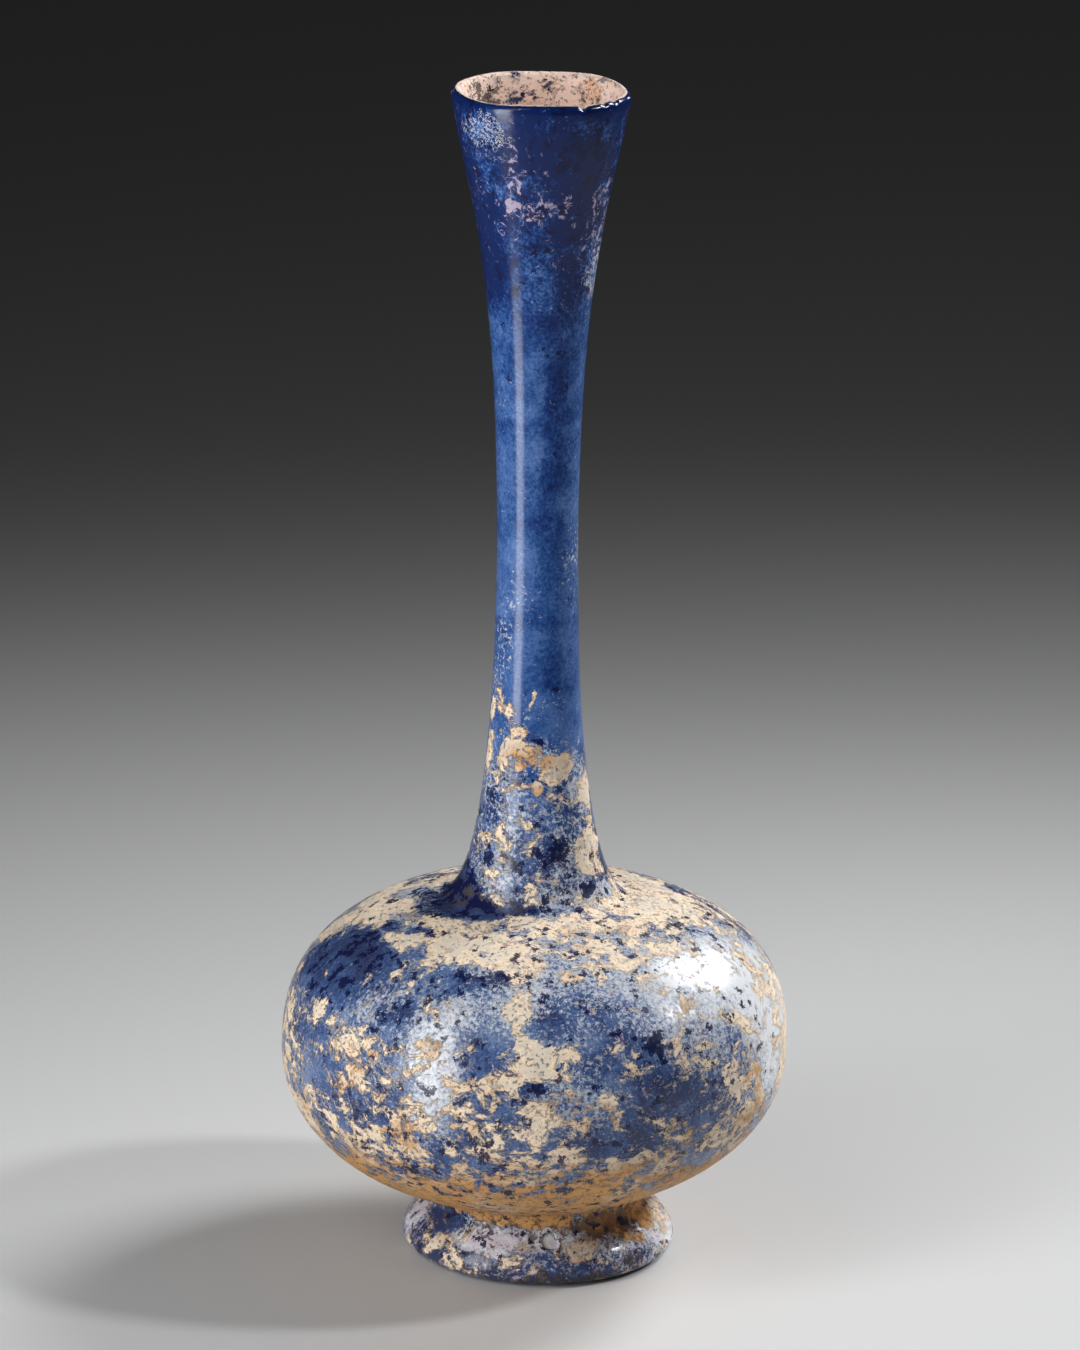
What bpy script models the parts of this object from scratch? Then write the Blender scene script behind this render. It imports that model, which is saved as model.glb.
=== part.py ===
"""Glass sprinkler flask: a free-blown bottle on a splayed, hollow foot.

The flask is one piece of glass. Its outline is drawn once, from the middle of the hollow
under the foot, over the foot, the squat body, the long neck and the round lip, and back down
inside to the floor of the body. Spinning that outline gives a closed skin with an open mouth
and walls of true thickness. The skin is then set a little askew, as the real flask is: the
body leans on its foot, and the neck drifts to the same side.

Units are metres, +Z is up, and the flask stands on z = 0. The origin is under the middle of
the body's widest ring.

Run it with: blender --background --python part.py
"""

import math

import bmesh
import bpy
from mathutils import Vector
from mathutils.geometry import interpolate_bezier

MM = 0.001

# Flask as a whole
HEIGHT = 237.8 * MM

# Body: a squat globe, rounder below its widest ring than above it. A fullness of 2 is a plain
# ellipse, and more than 2 is squarer.
BODY_RADIUS = 50.5 * MM
BODY_WIDEST_Z = 42.3 * MM
BODY_DOME = 32.95 * MM
BODY_BOWL = 31.1 * MM
DOME_FULLNESS = 2.49
BOWL_FULLNESS = 2.04

# Neck: leaves the shoulder on a fillet, is narrowest at its waist, and opens to the mouth.
NECK_LEAVES_SHOULDER = math.radians(72.9)
SHOULDER_REACH = 9.6 * MM
NECK_WAIST_RADIUS = 8.0 * MM
NECK_WAIST_Z = 145.75 * MM
NECK_REACH_DOWN = 20.3 * MM
NECK_REACH_UP = 60.0 * MM
MOUTH_RADIUS = 17.4 * MM
MOUTH_FLARE = 0.138
MOUTH_REACH = 17.5 * MM

# Foot: a splayed ring with a rounded edge, hollow underneath.
FOOT_RADIUS = 27.4 * MM
FOOT_WIDEST_Z = 2.5 * MM
CONTACT_OUTER = 22.3 * MM
CONTACT_INNER = 19.8 * MM
FOOT_WAIST_RADIUS = 21.8 * MM
FOOT_WAIST_Z = 11.3 * MM
FOOT_JOINS_BODY = 25.0 * MM
SPLAY_REACH = 4.4 * MM
WAIST_REACH = 2.3 * MM
ROOT_REACH = 1.6 * MM
HOLLOW_DEPTH = 9.0 * MM

# Thickness of the glass: the wall thins from the neck's waist to the lip, and thickens from the
# body's widest ring to the floor.
WALL = 2.2 * MM
LIP_WALL = 1.8 * MM
FLOOR_Z = 15.2 * MM

# How the flask stands askew: its foot is off centre, and the body and neck lean to -X.
NECK_DRIFT = math.tan(math.radians(0.85))
FOOT_OFFSET = 1.3 * MM
BODY_TILT = math.radians(1.4)
LIP_TILT = math.radians(0.3)
FOOT_TOP_Z = 8.0 * MM
BODY_BOTTOM_Z = 20.0 * MM
SHOULDER_Z = 78.0 * MM

# How finely the outline is divided. The neck has one count below its waist and one above it.
FACETS_ROUND = 56
QUARTER_TURN = math.pi / 2.0
HOLLOW_STEPS = 5
EDGE_STEPS = 4
SPLAY_STEPS = 6
ROOT_STEPS = 3
BOWL_STEPS = 8
DOME_STEPS = 10
NECK_STEPS = (10, 9)
LIP_STEPS = 4
INNER_DOME_STEPS = 8
INNER_NECK_STEPS = (7, 6)
MERGE_DISTANCE = 0.001 * MM
TANGENT_NUDGE = 1e-4
SHARP_ANGLE = math.radians(50.0)

# Colour of the weathered cobalt glass
GLASS_COLOUR = (0.085, 0.130, 0.340, 1.0)
GLASS_ROUGHNESS = 0.38


def clear_scene():
    """Remove every object, so that the file holds the flask alone."""
    for obj in list(bpy.data.objects):
        bpy.data.objects.remove(obj, do_unlink=True)


def smooth_step(low, high, value):
    """Rise smoothly from 0 at low to 1 at high."""
    share = min(max((value - low) / (high - low), 0.0), 1.0)
    return share * share * (3.0 - 2.0 * share)


def globe_point(radius, rise, angle):
    """Return the body's outline at an angle from its widest ring, as (radius, 0, z).

    rise is the height of the dome above the widest ring, or minus the depth of the bowl.
    """
    power = 2.0 / (DOME_FULLNESS if rise > 0.0 else BOWL_FULLNESS)
    return Vector((
        radius * math.cos(angle) ** power,
        0.0,
        BODY_WIDEST_Z + rise * math.sin(angle) ** power,
    ))


def bowl_angle(radius, at_radius):
    """Return the angle at which the bowl of a radius has narrowed to at_radius."""
    return math.acos((at_radius / radius) ** (BOWL_FULLNESS / 2.0))


def globe_arc(radius, rise, first, last, steps):
    """Return the points of the globe's outline from the first angle to the last."""
    return [
        globe_point(radius, rise, first + (last - first) * step / steps)
        for step in range(steps + 1)
    ]


def curve(start, start_handle, end_handle, end, steps):
    """Return the points of one Bezier span, handles given as offsets from its ends."""
    return list(interpolate_bezier(start, start + start_handle, end + end_handle, end, steps + 1))


def tangent(radius, rise, angle):
    """Return the unit direction of the globe's outline at an angle, towards its top."""
    ahead = globe_point(radius, rise, angle + TANGENT_NUDGE)
    return (ahead - globe_point(radius, rise, angle)).normalized()


def neck_outline(steps):
    """Return the outside of the neck, from the shoulder up to the lip."""
    root = globe_point(BODY_RADIUS, BODY_DOME, NECK_LEAVES_SHOULDER)
    leaves = tangent(BODY_RADIUS, BODY_DOME, NECK_LEAVES_SHOULDER)
    waist = Vector((NECK_WAIST_RADIUS, 0.0, NECK_WAIST_Z))
    mouth = Vector((MOUTH_RADIUS, 0.0, HEIGHT - LIP_WALL / 2.0))
    flare = Vector((MOUTH_FLARE, 0.0, 1.0)).normalized()
    up = Vector((0.0, 0.0, 1.0))
    lower = curve(root, leaves * SHOULDER_REACH, -up * NECK_REACH_DOWN, waist, steps[0])
    upper = curve(waist, up * NECK_REACH_UP, -flare * MOUTH_REACH, mouth, steps[1])
    return lower + upper[1:]


def hollow_outline():
    """Return the hollow under the foot, from its middle to the ring the flask stands on."""
    return [
        Vector((
            CONTACT_INNER * math.sin(QUARTER_TURN * step / HOLLOW_STEPS),
            0.0,
            HOLLOW_DEPTH * math.cos(QUARTER_TURN * step / HOLLOW_STEPS),
        ))
        for step in range(HOLLOW_STEPS + 1)
    ]


def foot_outline():
    """Return the outside of the foot, from the ring it stands on to the body's underside."""
    up = Vector((0.0, 0.0, 1.0))
    edge_width = FOOT_RADIUS - CONTACT_OUTER
    rounded = [
        Vector((
            CONTACT_OUTER + edge_width * math.sin(QUARTER_TURN * step / EDGE_STEPS),
            0.0,
            FOOT_WIDEST_Z * (1.0 - math.cos(QUARTER_TURN * step / EDGE_STEPS)),
        ))
        for step in range(EDGE_STEPS + 1)
    ]
    waist = Vector((FOOT_WAIST_RADIUS, 0.0, FOOT_WAIST_Z))
    splay = curve(rounded[-1], up * SPLAY_REACH, -up * WAIST_REACH, waist, SPLAY_STEPS)
    angle = bowl_angle(BODY_RADIUS, FOOT_JOINS_BODY)
    body = globe_point(BODY_RADIUS, -BODY_BOWL, angle)
    inward = tangent(BODY_RADIUS, -BODY_BOWL, angle)
    root = curve(waist, up * WAIST_REACH, inward * ROOT_REACH, body, ROOT_STEPS)
    return rounded + splay[1:] + root[1:]


def lip_outline():
    """Return the half-round lip between the outside and the inside of the mouth."""
    half = LIP_WALL / 2.0
    return [
        Vector((
            MOUTH_RADIUS - half + half * math.cos(math.pi * step / LIP_STEPS),
            0.0,
            HEIGHT - half + half * math.sin(math.pi * step / LIP_STEPS),
        ))
        for step in range(1, LIP_STEPS)
    ]


def inset(outline):
    """Return an outline that runs up the outside, moved in by the thickness of the wall."""
    moved = []
    for place, point in enumerate(outline):
        before = outline[max(place - 1, 0)]
        after = outline[min(place + 1, len(outline) - 1)]
        along = (after - before).normalized()
        wall = WALL - (WALL - LIP_WALL) * smooth_step(NECK_WAIST_Z, HEIGHT, point.z)
        moved.append(point + Vector((-along.z, 0.0, along.x)) * wall)
    return moved


def inner_outline():
    """Return the inside of the flask, from the mouth down to the middle of the floor."""
    dome = globe_arc(BODY_RADIUS, BODY_DOME, 0.0, NECK_LEAVES_SHOULDER, INNER_DOME_STEPS)
    neck = neck_outline(INNER_NECK_STEPS)
    above_ring = inset(dome + neck[1:])[1:-1]
    mouth = Vector((MOUTH_RADIUS - LIP_WALL, 0.0, HEIGHT - LIP_WALL / 2.0))
    bowl = globe_arc(BODY_RADIUS - WALL, FLOOR_Z - BODY_WIDEST_Z, 0.0, QUARTER_TURN, BOWL_STEPS)
    bowl[-1].x = 0.0
    return [mouth] + above_ring[::-1] + bowl


def flask_outline():
    """Return the whole outline of the glass, as one open line from axis to axis."""
    bowl_start = bowl_angle(BODY_RADIUS, FOOT_JOINS_BODY)
    bowl = globe_arc(BODY_RADIUS, -BODY_BOWL, bowl_start, 0.0, BOWL_STEPS)
    dome = globe_arc(BODY_RADIUS, BODY_DOME, 0.0, NECK_LEAVES_SHOULDER, DOME_STEPS)
    neck = neck_outline(NECK_STEPS)
    outside = foot_outline() + bowl[1:] + dome[1:] + neck[1:]
    return hollow_outline() + outside + lip_outline() + inner_outline()


def set_askew(point):
    """Return a point of the upright flask where it lies in the real, slightly crooked one."""
    above_foot = smooth_step(FOOT_TOP_Z, BODY_BOTTOM_Z, point.z)
    up_neck = smooth_step(SHOULDER_Z, HEIGHT, point.z)
    tilt = above_foot * (BODY_TILT + (LIP_TILT - BODY_TILT) * up_neck)
    drift = FOOT_OFFSET * (1.0 - above_foot) - NECK_DRIFT * (point.z - BODY_WIDEST_Z)
    return Vector((
        drift + point.x * math.cos(tilt),
        point.y,
        point.z + point.x * math.sin(tilt),
    ))


def glass_material():
    """Return the flask's plain material."""
    material = bpy.data.materials.new("weathered_cobalt_glass")
    material.use_nodes = True
    shader = material.node_tree.nodes["Principled BSDF"]
    shader.inputs["Base Color"].default_value = GLASS_COLOUR
    shader.inputs["Roughness"].default_value = GLASS_ROUGHNESS
    shader.inputs["Metallic"].default_value = 0.0
    material.diffuse_color = GLASS_COLOUR
    return material


def make_flask():
    """Spin the outline into the closed glass of the flask."""
    mesh = bpy.data.meshes.new("flask")
    bm = bmesh.new()
    points = [bm.verts.new(point) for point in flask_outline()]
    edges = [bm.edges.new(pair) for pair in zip(points, points[1:])]
    bmesh.ops.spin(
        bm,
        geom=points + edges,
        cent=(0.0, 0.0, 0.0),
        axis=(0.0, 0.0, 1.0),
        angle=2.0 * math.pi,
        steps=FACETS_ROUND,
        use_merge=True,
    )
    bmesh.ops.remove_doubles(bm, verts=bm.verts, dist=MERGE_DISTANCE)
    bmesh.ops.recalc_face_normals(bm, faces=bm.faces)
    for vertex in bm.verts:
        vertex.co = set_askew(vertex.co)
    bm.to_mesh(mesh)
    bm.free()
    mesh.shade_smooth()
    mesh.set_sharp_from_angle(angle=SHARP_ANGLE)
    mesh.materials.append(glass_material())
    flask = bpy.data.objects.new("flask", mesh)
    bpy.context.scene.collection.objects.link(flask)
    return flask


def main():
    """Build the flask in an empty scene."""
    clear_scene()
    make_flask()


main()
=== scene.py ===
"""Looks of the weathered glass sprinkler flask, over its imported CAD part, in Blender 4.5.

The flask is one blown piece: a squat globe on a splayed foot that is hollow underneath, with a
long neck that narrows to a waist and opens to a plain mouth. Its skin is spun from the same
outline as the CAD part, set askew as the real one is, and given its slight wobble, its chips and
the low relief of its crust. Where each kind of weathering lies is held as attributes on the
skin's points. The materials read those and break their edges up into fine patches.

Lengths are in metres, and a name that ends in _mm is in millimetres. A bearing is an angle round
the flask in degrees, 0 towards the camera and positive to the camera's right.
"""

import logging
import math
from dataclasses import asdict, dataclass
from enum import Enum
from typing import NamedTuple, Sequence

import bmesh
import bpy
import numpy as np
from mathutils import Matrix, Vector, noise
from mathutils.geometry import interpolate_bezier


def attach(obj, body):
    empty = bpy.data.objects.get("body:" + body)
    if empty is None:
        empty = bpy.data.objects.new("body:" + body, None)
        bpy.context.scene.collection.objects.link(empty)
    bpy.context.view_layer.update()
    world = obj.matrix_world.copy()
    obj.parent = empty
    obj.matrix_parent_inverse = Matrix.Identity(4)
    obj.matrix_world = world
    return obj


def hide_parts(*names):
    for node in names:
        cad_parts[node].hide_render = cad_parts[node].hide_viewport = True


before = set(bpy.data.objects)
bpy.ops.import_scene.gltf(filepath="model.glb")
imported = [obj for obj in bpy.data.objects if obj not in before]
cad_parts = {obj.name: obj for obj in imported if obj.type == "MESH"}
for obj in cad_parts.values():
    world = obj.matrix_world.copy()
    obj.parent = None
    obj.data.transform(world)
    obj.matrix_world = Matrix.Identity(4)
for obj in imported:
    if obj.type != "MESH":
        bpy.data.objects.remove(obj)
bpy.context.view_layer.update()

MM = 0.001
QUARTER_TURN = math.pi / 2.0
FULL_TURN = 2.0 * math.pi
LOG = logging.getLogger("sprinkler_flask")

Colour = tuple[float, float, float, float]
Socket = bpy.types.NodeSocket
Input = Socket | float | tuple[float, ...]


def smooth_step(low: float, high: float, value: float) -> float:
    """Rise smoothly from 0 at low to 1 at high."""
    share = min(max((value - low) / (high - low), 0.0), 1.0)
    return share * share * (3.0 - 2.0 * share)


def smooth_steps(low: float, high: float, values: np.ndarray) -> np.ndarray:
    """Rise smoothly from 0 at low to 1 at high, for many values at once."""
    share = np.clip((values - low) / (high - low), 0.0, 1.0)
    return share * share * (3.0 - 2.0 * share)


def direction(bearing: float, elevation: float) -> Vector:
    """Return the unit direction at a bearing and an elevation, both in degrees."""
    turn, rise = math.radians(bearing), math.radians(elevation)
    return Vector((
        math.sin(turn) * math.cos(rise),
        -math.cos(turn) * math.cos(rise),
        math.sin(rise),
    ))


@dataclass(frozen=True)
class ViewCamera:
    """Camera that stands where the photograph was taken from."""

    picture_height_px: int = 1350
    focal_px: float = 7396.5
    sensor_mm: float = 36.0
    side: float = -0.42 * MM
    distance: float = 1.4
    height: float = 0.54495
    pitch: float = math.radians(16.9)
    roll: float = math.radians(1.4)

    def build(self) -> bpy.types.Object:
        """Place the camera and make it the scene's own.

        Returns:
            The camera's object.
        """
        camera = bpy.data.cameras.new("view_camera")
        camera.sensor_fit = "VERTICAL"
        camera.sensor_height = self.sensor_mm
        camera.lens = self.focal_px / self.picture_height_px * self.sensor_mm
        camera.clip_end = 20.0
        obj = bpy.data.objects.new("view_camera", camera)
        bpy.context.scene.collection.objects.link(obj)
        aim = Matrix.Rotation(QUARTER_TURN - self.pitch, 4, "X")
        aim @= Matrix.Rotation(self.roll, 4, "Z")
        obj.matrix_world = Matrix.Translation((self.side, -self.distance, self.height)) @ aim
        bpy.context.scene.camera = obj
        return obj


@dataclass(frozen=True)
class StudioLight:
    """Light that hangs round a point and faces it.

    Attributes:
        name: the light's name.
        bearing: where it hangs round the point, in degrees.
        elevation: how high it hangs, in degrees.
        distance: how far off it hangs.
        power: its power, in watts.
        aim: the point.
    """

    name: str
    bearing: float
    elevation: float
    distance: float
    power: float
    aim: tuple[float, float, float]

    def hang(self, light: bpy.types.Light) -> bpy.types.Object:
        """Hang a light and turn its face to the point.

        Args:
            light: the light's data.

        Returns:
            The light's object.
        """
        light.energy = self.power
        obj = bpy.data.objects.new(self.name, light)
        bpy.context.scene.collection.objects.link(obj)
        away = direction(self.bearing, self.elevation)
        obj.location = Vector(self.aim) + away * self.distance
        obj.rotation_euler = away.to_track_quat("Z", "Y").to_euler()
        obj.visible_camera = False
        return obj


@dataclass(frozen=True)
class SoftBox(StudioLight):
    """Soft rectangular light.

    Attributes:
        width: the width of its face.
        height: the height of its face.
        spread: how widely it shines, in degrees.
    """

    width: float
    height: float
    spread: float

    def build(self) -> bpy.types.Object:
        """Make the light and hang it.

        Returns:
            The light's object.
        """
        light = bpy.data.lights.new(self.name, "AREA")
        light.shape = "RECTANGLE"
        light.size = self.width
        light.size_y = self.height
        light.spread = math.radians(self.spread)
        return self.hang(light)


@dataclass(frozen=True)
class PoolLight(StudioLight):
    """Round light with a soft-edged cone, which leaves the far floor dark.

    Attributes:
        radius: the radius of its face.
        cone: how wide its cone is, in degrees.
    """

    radius: float
    cone: float

    def build(self) -> bpy.types.Object:
        """Make the light and hang it.

        Returns:
            The light's object.
        """
        light = bpy.data.lights.new(self.name, "SPOT")
        light.shadow_soft_size = self.radius
        light.spot_size = math.radians(self.cone)
        light.spot_blend = 1.0
        return self.hang(light)


@dataclass(frozen=True)
class Studio:
    """Plain pale floor under soft lights, and a dim room round them."""

    floor_half_width: float = 4.0
    floor_colour: Colour = (0.555, 0.558, 0.562, 1.0)
    floor_roughness: float = 0.62
    room_colour: Colour = (0.0165, 0.0165, 0.0170, 1.0)
    lights: tuple[SoftBox | PoolLight, ...] = (
        PoolLight(
            "key_pool", 96.0, 41.0, 1.30, power=28.4, aim=(-0.035, -0.13, 0.0),
            radius=0.07, cone=50.4,
        ),
        SoftBox(
            "right_back_box", 134.0, 38.0, 1.20, power=1.35, aim=(0.0, -0.11, 0.0),
            width=0.42, height=0.40, spread=55.0,
        ),
        SoftBox(
            "front_left_box", -50.0, 0.0, 0.40, power=1.25, aim=(0.0, 0.0, 0.238),
            width=0.15, height=0.46, spread=130.0,
        ),
        PoolLight(
            "left_high_pool", -52.0, 57.0, 1.30, power=8.0, aim=(0.0, -0.15, 0.0),
            radius=0.35, cone=55.0,
        ),
    )

    def build(self) -> None:
        """Lay the floor, hang the lights and set the room's own dim light."""
        self.lay_floor()
        for light in self.lights:
            LOG.info("%s: hung", light.build().name)
        world = bpy.data.worlds.new("studio_room")
        world.use_nodes = True
        world.node_tree.nodes["Background"].inputs["Color"].default_value = self.room_colour
        bpy.context.scene.world = world
        bpy.context.scene.view_settings.view_transform = "Standard"

    def lay_floor(self) -> None:
        """Lay the floor that the flask stands on."""
        bm = bmesh.new()
        bmesh.ops.create_grid(bm, x_segments=4, y_segments=4, size=self.floor_half_width)
        mesh = bpy.data.meshes.new("studio_floor")
        bm.to_mesh(mesh)
        bm.free()
        material = bpy.data.materials.new("pale_floor")
        material.use_nodes = True
        shader = material.node_tree.nodes["Principled BSDF"]
        shader.inputs["Base Color"].default_value = self.floor_colour
        shader.inputs["Roughness"].default_value = self.floor_roughness
        mesh.materials.append(material)
        floor = bpy.data.objects.new("studio_floor", mesh)
        bpy.context.scene.collection.objects.link(floor)


class Skin(Enum):
    """Part of the glass that a stretch of the outline belongs to, as its material's place."""

    OUTSIDE = 0
    INSIDE = 1
    HOLLOW = 2


class Channel(Enum):
    """Kinds of weathering held on the skin, each as an attribute of that name. Some also carry painted
    shade, shadow and highlights.
    """

    CRUST = "crust"
    OCHRE = "ochre"
    FILM = "film"
    PALE = "pale"
    BARE = "bare"
    DIRT = "dirt"
    LILAC = "lilac"
    WEB = "web"
    MOTTLE = "mottle"


class Mark(Enum):
    """What a patch is, as the share it adds to each channel.

    A FORM adds to none, because it only says where a shape of its own lies.
    """

    CREAM = ((Channel.CRUST, 1.25), (Channel.BARE, -0.5))
    OCHRE = ((Channel.CRUST, 1.25), (Channel.OCHRE, 1.0), (Channel.BARE, -0.5))
    RUST = ((Channel.OCHRE, 1.0),)
    # Deep navy glass; at the neck's root and the shoulder's left it is painted shadow of the neck.
    DEEP = (
        (Channel.CRUST, -1.4),
        (Channel.PALE, -1.2),
        (Channel.FILM, -0.50),
        (Channel.LILAC, -1.0),
        (Channel.DIRT, -0.4),
        (Channel.BARE, 0.45),
    )
    SLATE = (
        (Channel.CRUST, -1.2),
        (Channel.PALE, -0.5),
        (Channel.FILM, -0.45),
        (Channel.DIRT, 0.9),
    )
    # Deeper blue film; the band up the neck's right is painted shade.
    SHADE = ((Channel.FILM, -1.0),)
    MID_BLUE = (
        (Channel.CRUST, -1.3),
        (Channel.PALE, -0.3),
        (Channel.FILM, 0.15),
        (Channel.BARE, -0.3),
    )
    # Pale haze; laid where a lamp's highlight falls it is also painted highlight.
    PALE = ((Channel.PALE, 1.5), (Channel.CRUST, -0.4), (Channel.FILM, 0.3))
    # Fallen flakes that bare the navy glass; round the foot's scar the ring is painted shade.
    BARE = ((Channel.BARE, 1.0), (Channel.CRUST, -0.8))
    # Dark earth; at the foot's waist and the neck's root it is also painted shade.
    DIRT = ((Channel.DIRT, 1.2),)
    LILAC = ((Channel.LILAC, 1.6), (Channel.PALE, 0.4))
    WEB = ((Channel.WEB, 1.0),)
    SCAR = (
        (Channel.PALE, 0.25),
        (Channel.DIRT, -2.4),
        (Channel.CRUST, -0.6),
        (Channel.BARE, -1.7),
    )
    FORM = ()


@dataclass(frozen=True)
class Patch:
    """One patch of the flask's skin, longish and soft-edged.

    Attributes:
        mark: what the patch is.
        bearing: its middle, in degrees round the flask.
        height_mm: its middle's height.
        across_mm: its whole width round the flask.
        along_mm: its whole length up the skin.
        turn: how far it is turned anticlockwise, in degrees.
        amount: how strongly it shows.
        skin: the side of the glass that it lies on.
    """

    mark: Mark
    bearing: float
    height_mm: float
    across_mm: float
    along_mm: float
    turn: float = 0.0
    amount: float = 0.5
    skin: Skin = Skin.OUTSIDE


@dataclass(frozen=True)
class Grade:
    """How much of a channel lies on the glass before any patch is added.

    Attributes:
        channel: the channel.
        shares: how much lies at each height of the outside, in pairs of (mm, share).
        inside: how much lies on the inside.
        hollow: how much lies in the hollow under the foot.
    """

    channel: Channel
    shares: tuple[tuple[float, float], ...]
    inside: float
    hollow: float


GRADES: tuple[Grade, ...] = (
    Grade(Channel.CRUST, (
        (0, 0.20), (6, 0.28), (10, 0.42), (13, 0.95), (20, 1.00), (26, 0.78), (32, 0.50),
        (42, 0.41), (55, 0.32), (64, 0.32), (70, 0.46), (75, 0.70), (79, 0.32), (86, 0.20),
        (98, 0.20), (106, -0.05), (113, -0.50), (120, -0.80), (238, -0.90),
    ), inside=1.25, hollow=0.62),
    Grade(Channel.OCHRE, (
        (0, 0.0), (8, 0.20), (12, 1.1), (20, 1.25), (27, 0.90), (33, 0.45), (42, 0.25),
        (60, 0.10), (80, 0.05), (98, 0.25), (104, 0.50), (120, 0.40), (238, 0.2),
    ), inside=0.15, hollow=0.5),
    Grade(Channel.FILM, (
        (0, 0.08), (10, 0.12), (20, 0.45), (35, 0.54), (55, 0.60), (70, 0.52), (80, 0.42),
        (90, 0.44), (105, 0.54), (130, 0.52), (180, 0.44), (195, 0.28), (208, 0.08), (225, 0.02),
        (234, 0.0), (238, -0.3),
    ), inside=0.4, hollow=0.35),
    Grade(Channel.PALE, (
        (0, 0.15), (10, 0.25), (25, 0.10), (45, 0.10), (58, 0.22), (72, 0.56), (84, 0.26),
        (100, 0.20), (112, 0.04), (130, -0.05), (160, -0.20), (190, -0.25), (215, -0.40), (235, -0.45),
        (238, -1.0),
    ), inside=0.4, hollow=0.4),
    Grade(Channel.BARE, (
        (0, 0.05), (14, 0.05), (20, 0.14), (32, 0.12), (45, 0.06), (65, 0.08), (74, 0.12),
        (82, 0.14), (95, 0.10), (110, -0.20), (180, -0.20), (200, 0.06), (238, 0.12),
    ), inside=-0.3, hollow=0.05),
    # Dark earth; its rise at 11 mm, the foot's waist, is also painted shade in the recess under the
    # body.
    Grade(Channel.DIRT, (
        (0, 0.30), (5, 0.15), (8, 0.15), (11, 0.40), (14, 0.15), (20, 0.0), (28, -0.15), (60, -0.30),
        (78, -0.15), (110, -0.6), (200, -0.4), (238, -0.3),
    ), inside=-0.1, hollow=0.35),
    Grade(Channel.LILAC, (
        (0, 0.18), (9, 0.20), (16, -0.3), (60, -0.2), (75, 0.0), (90, -0.1), (120, -0.6),
        (195, -0.42), (215, -0.12), (238, -0.32),
    ), inside=-0.2, hollow=0.0),
    Grade(Channel.WEB, ((0, 0.0), (210, 0.0), (225, 0.12), (238, 0.20)), inside=0.0, hollow=0.0),
    Grade(Channel.MOTTLE, (
        (0, 1.0), (80, 1.0), (95, 0.8), (112, 0.45), (190, 0.55), (205, 1.0), (238, 1.2),
    ), inside=1.0, hollow=1.0),
)

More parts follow.
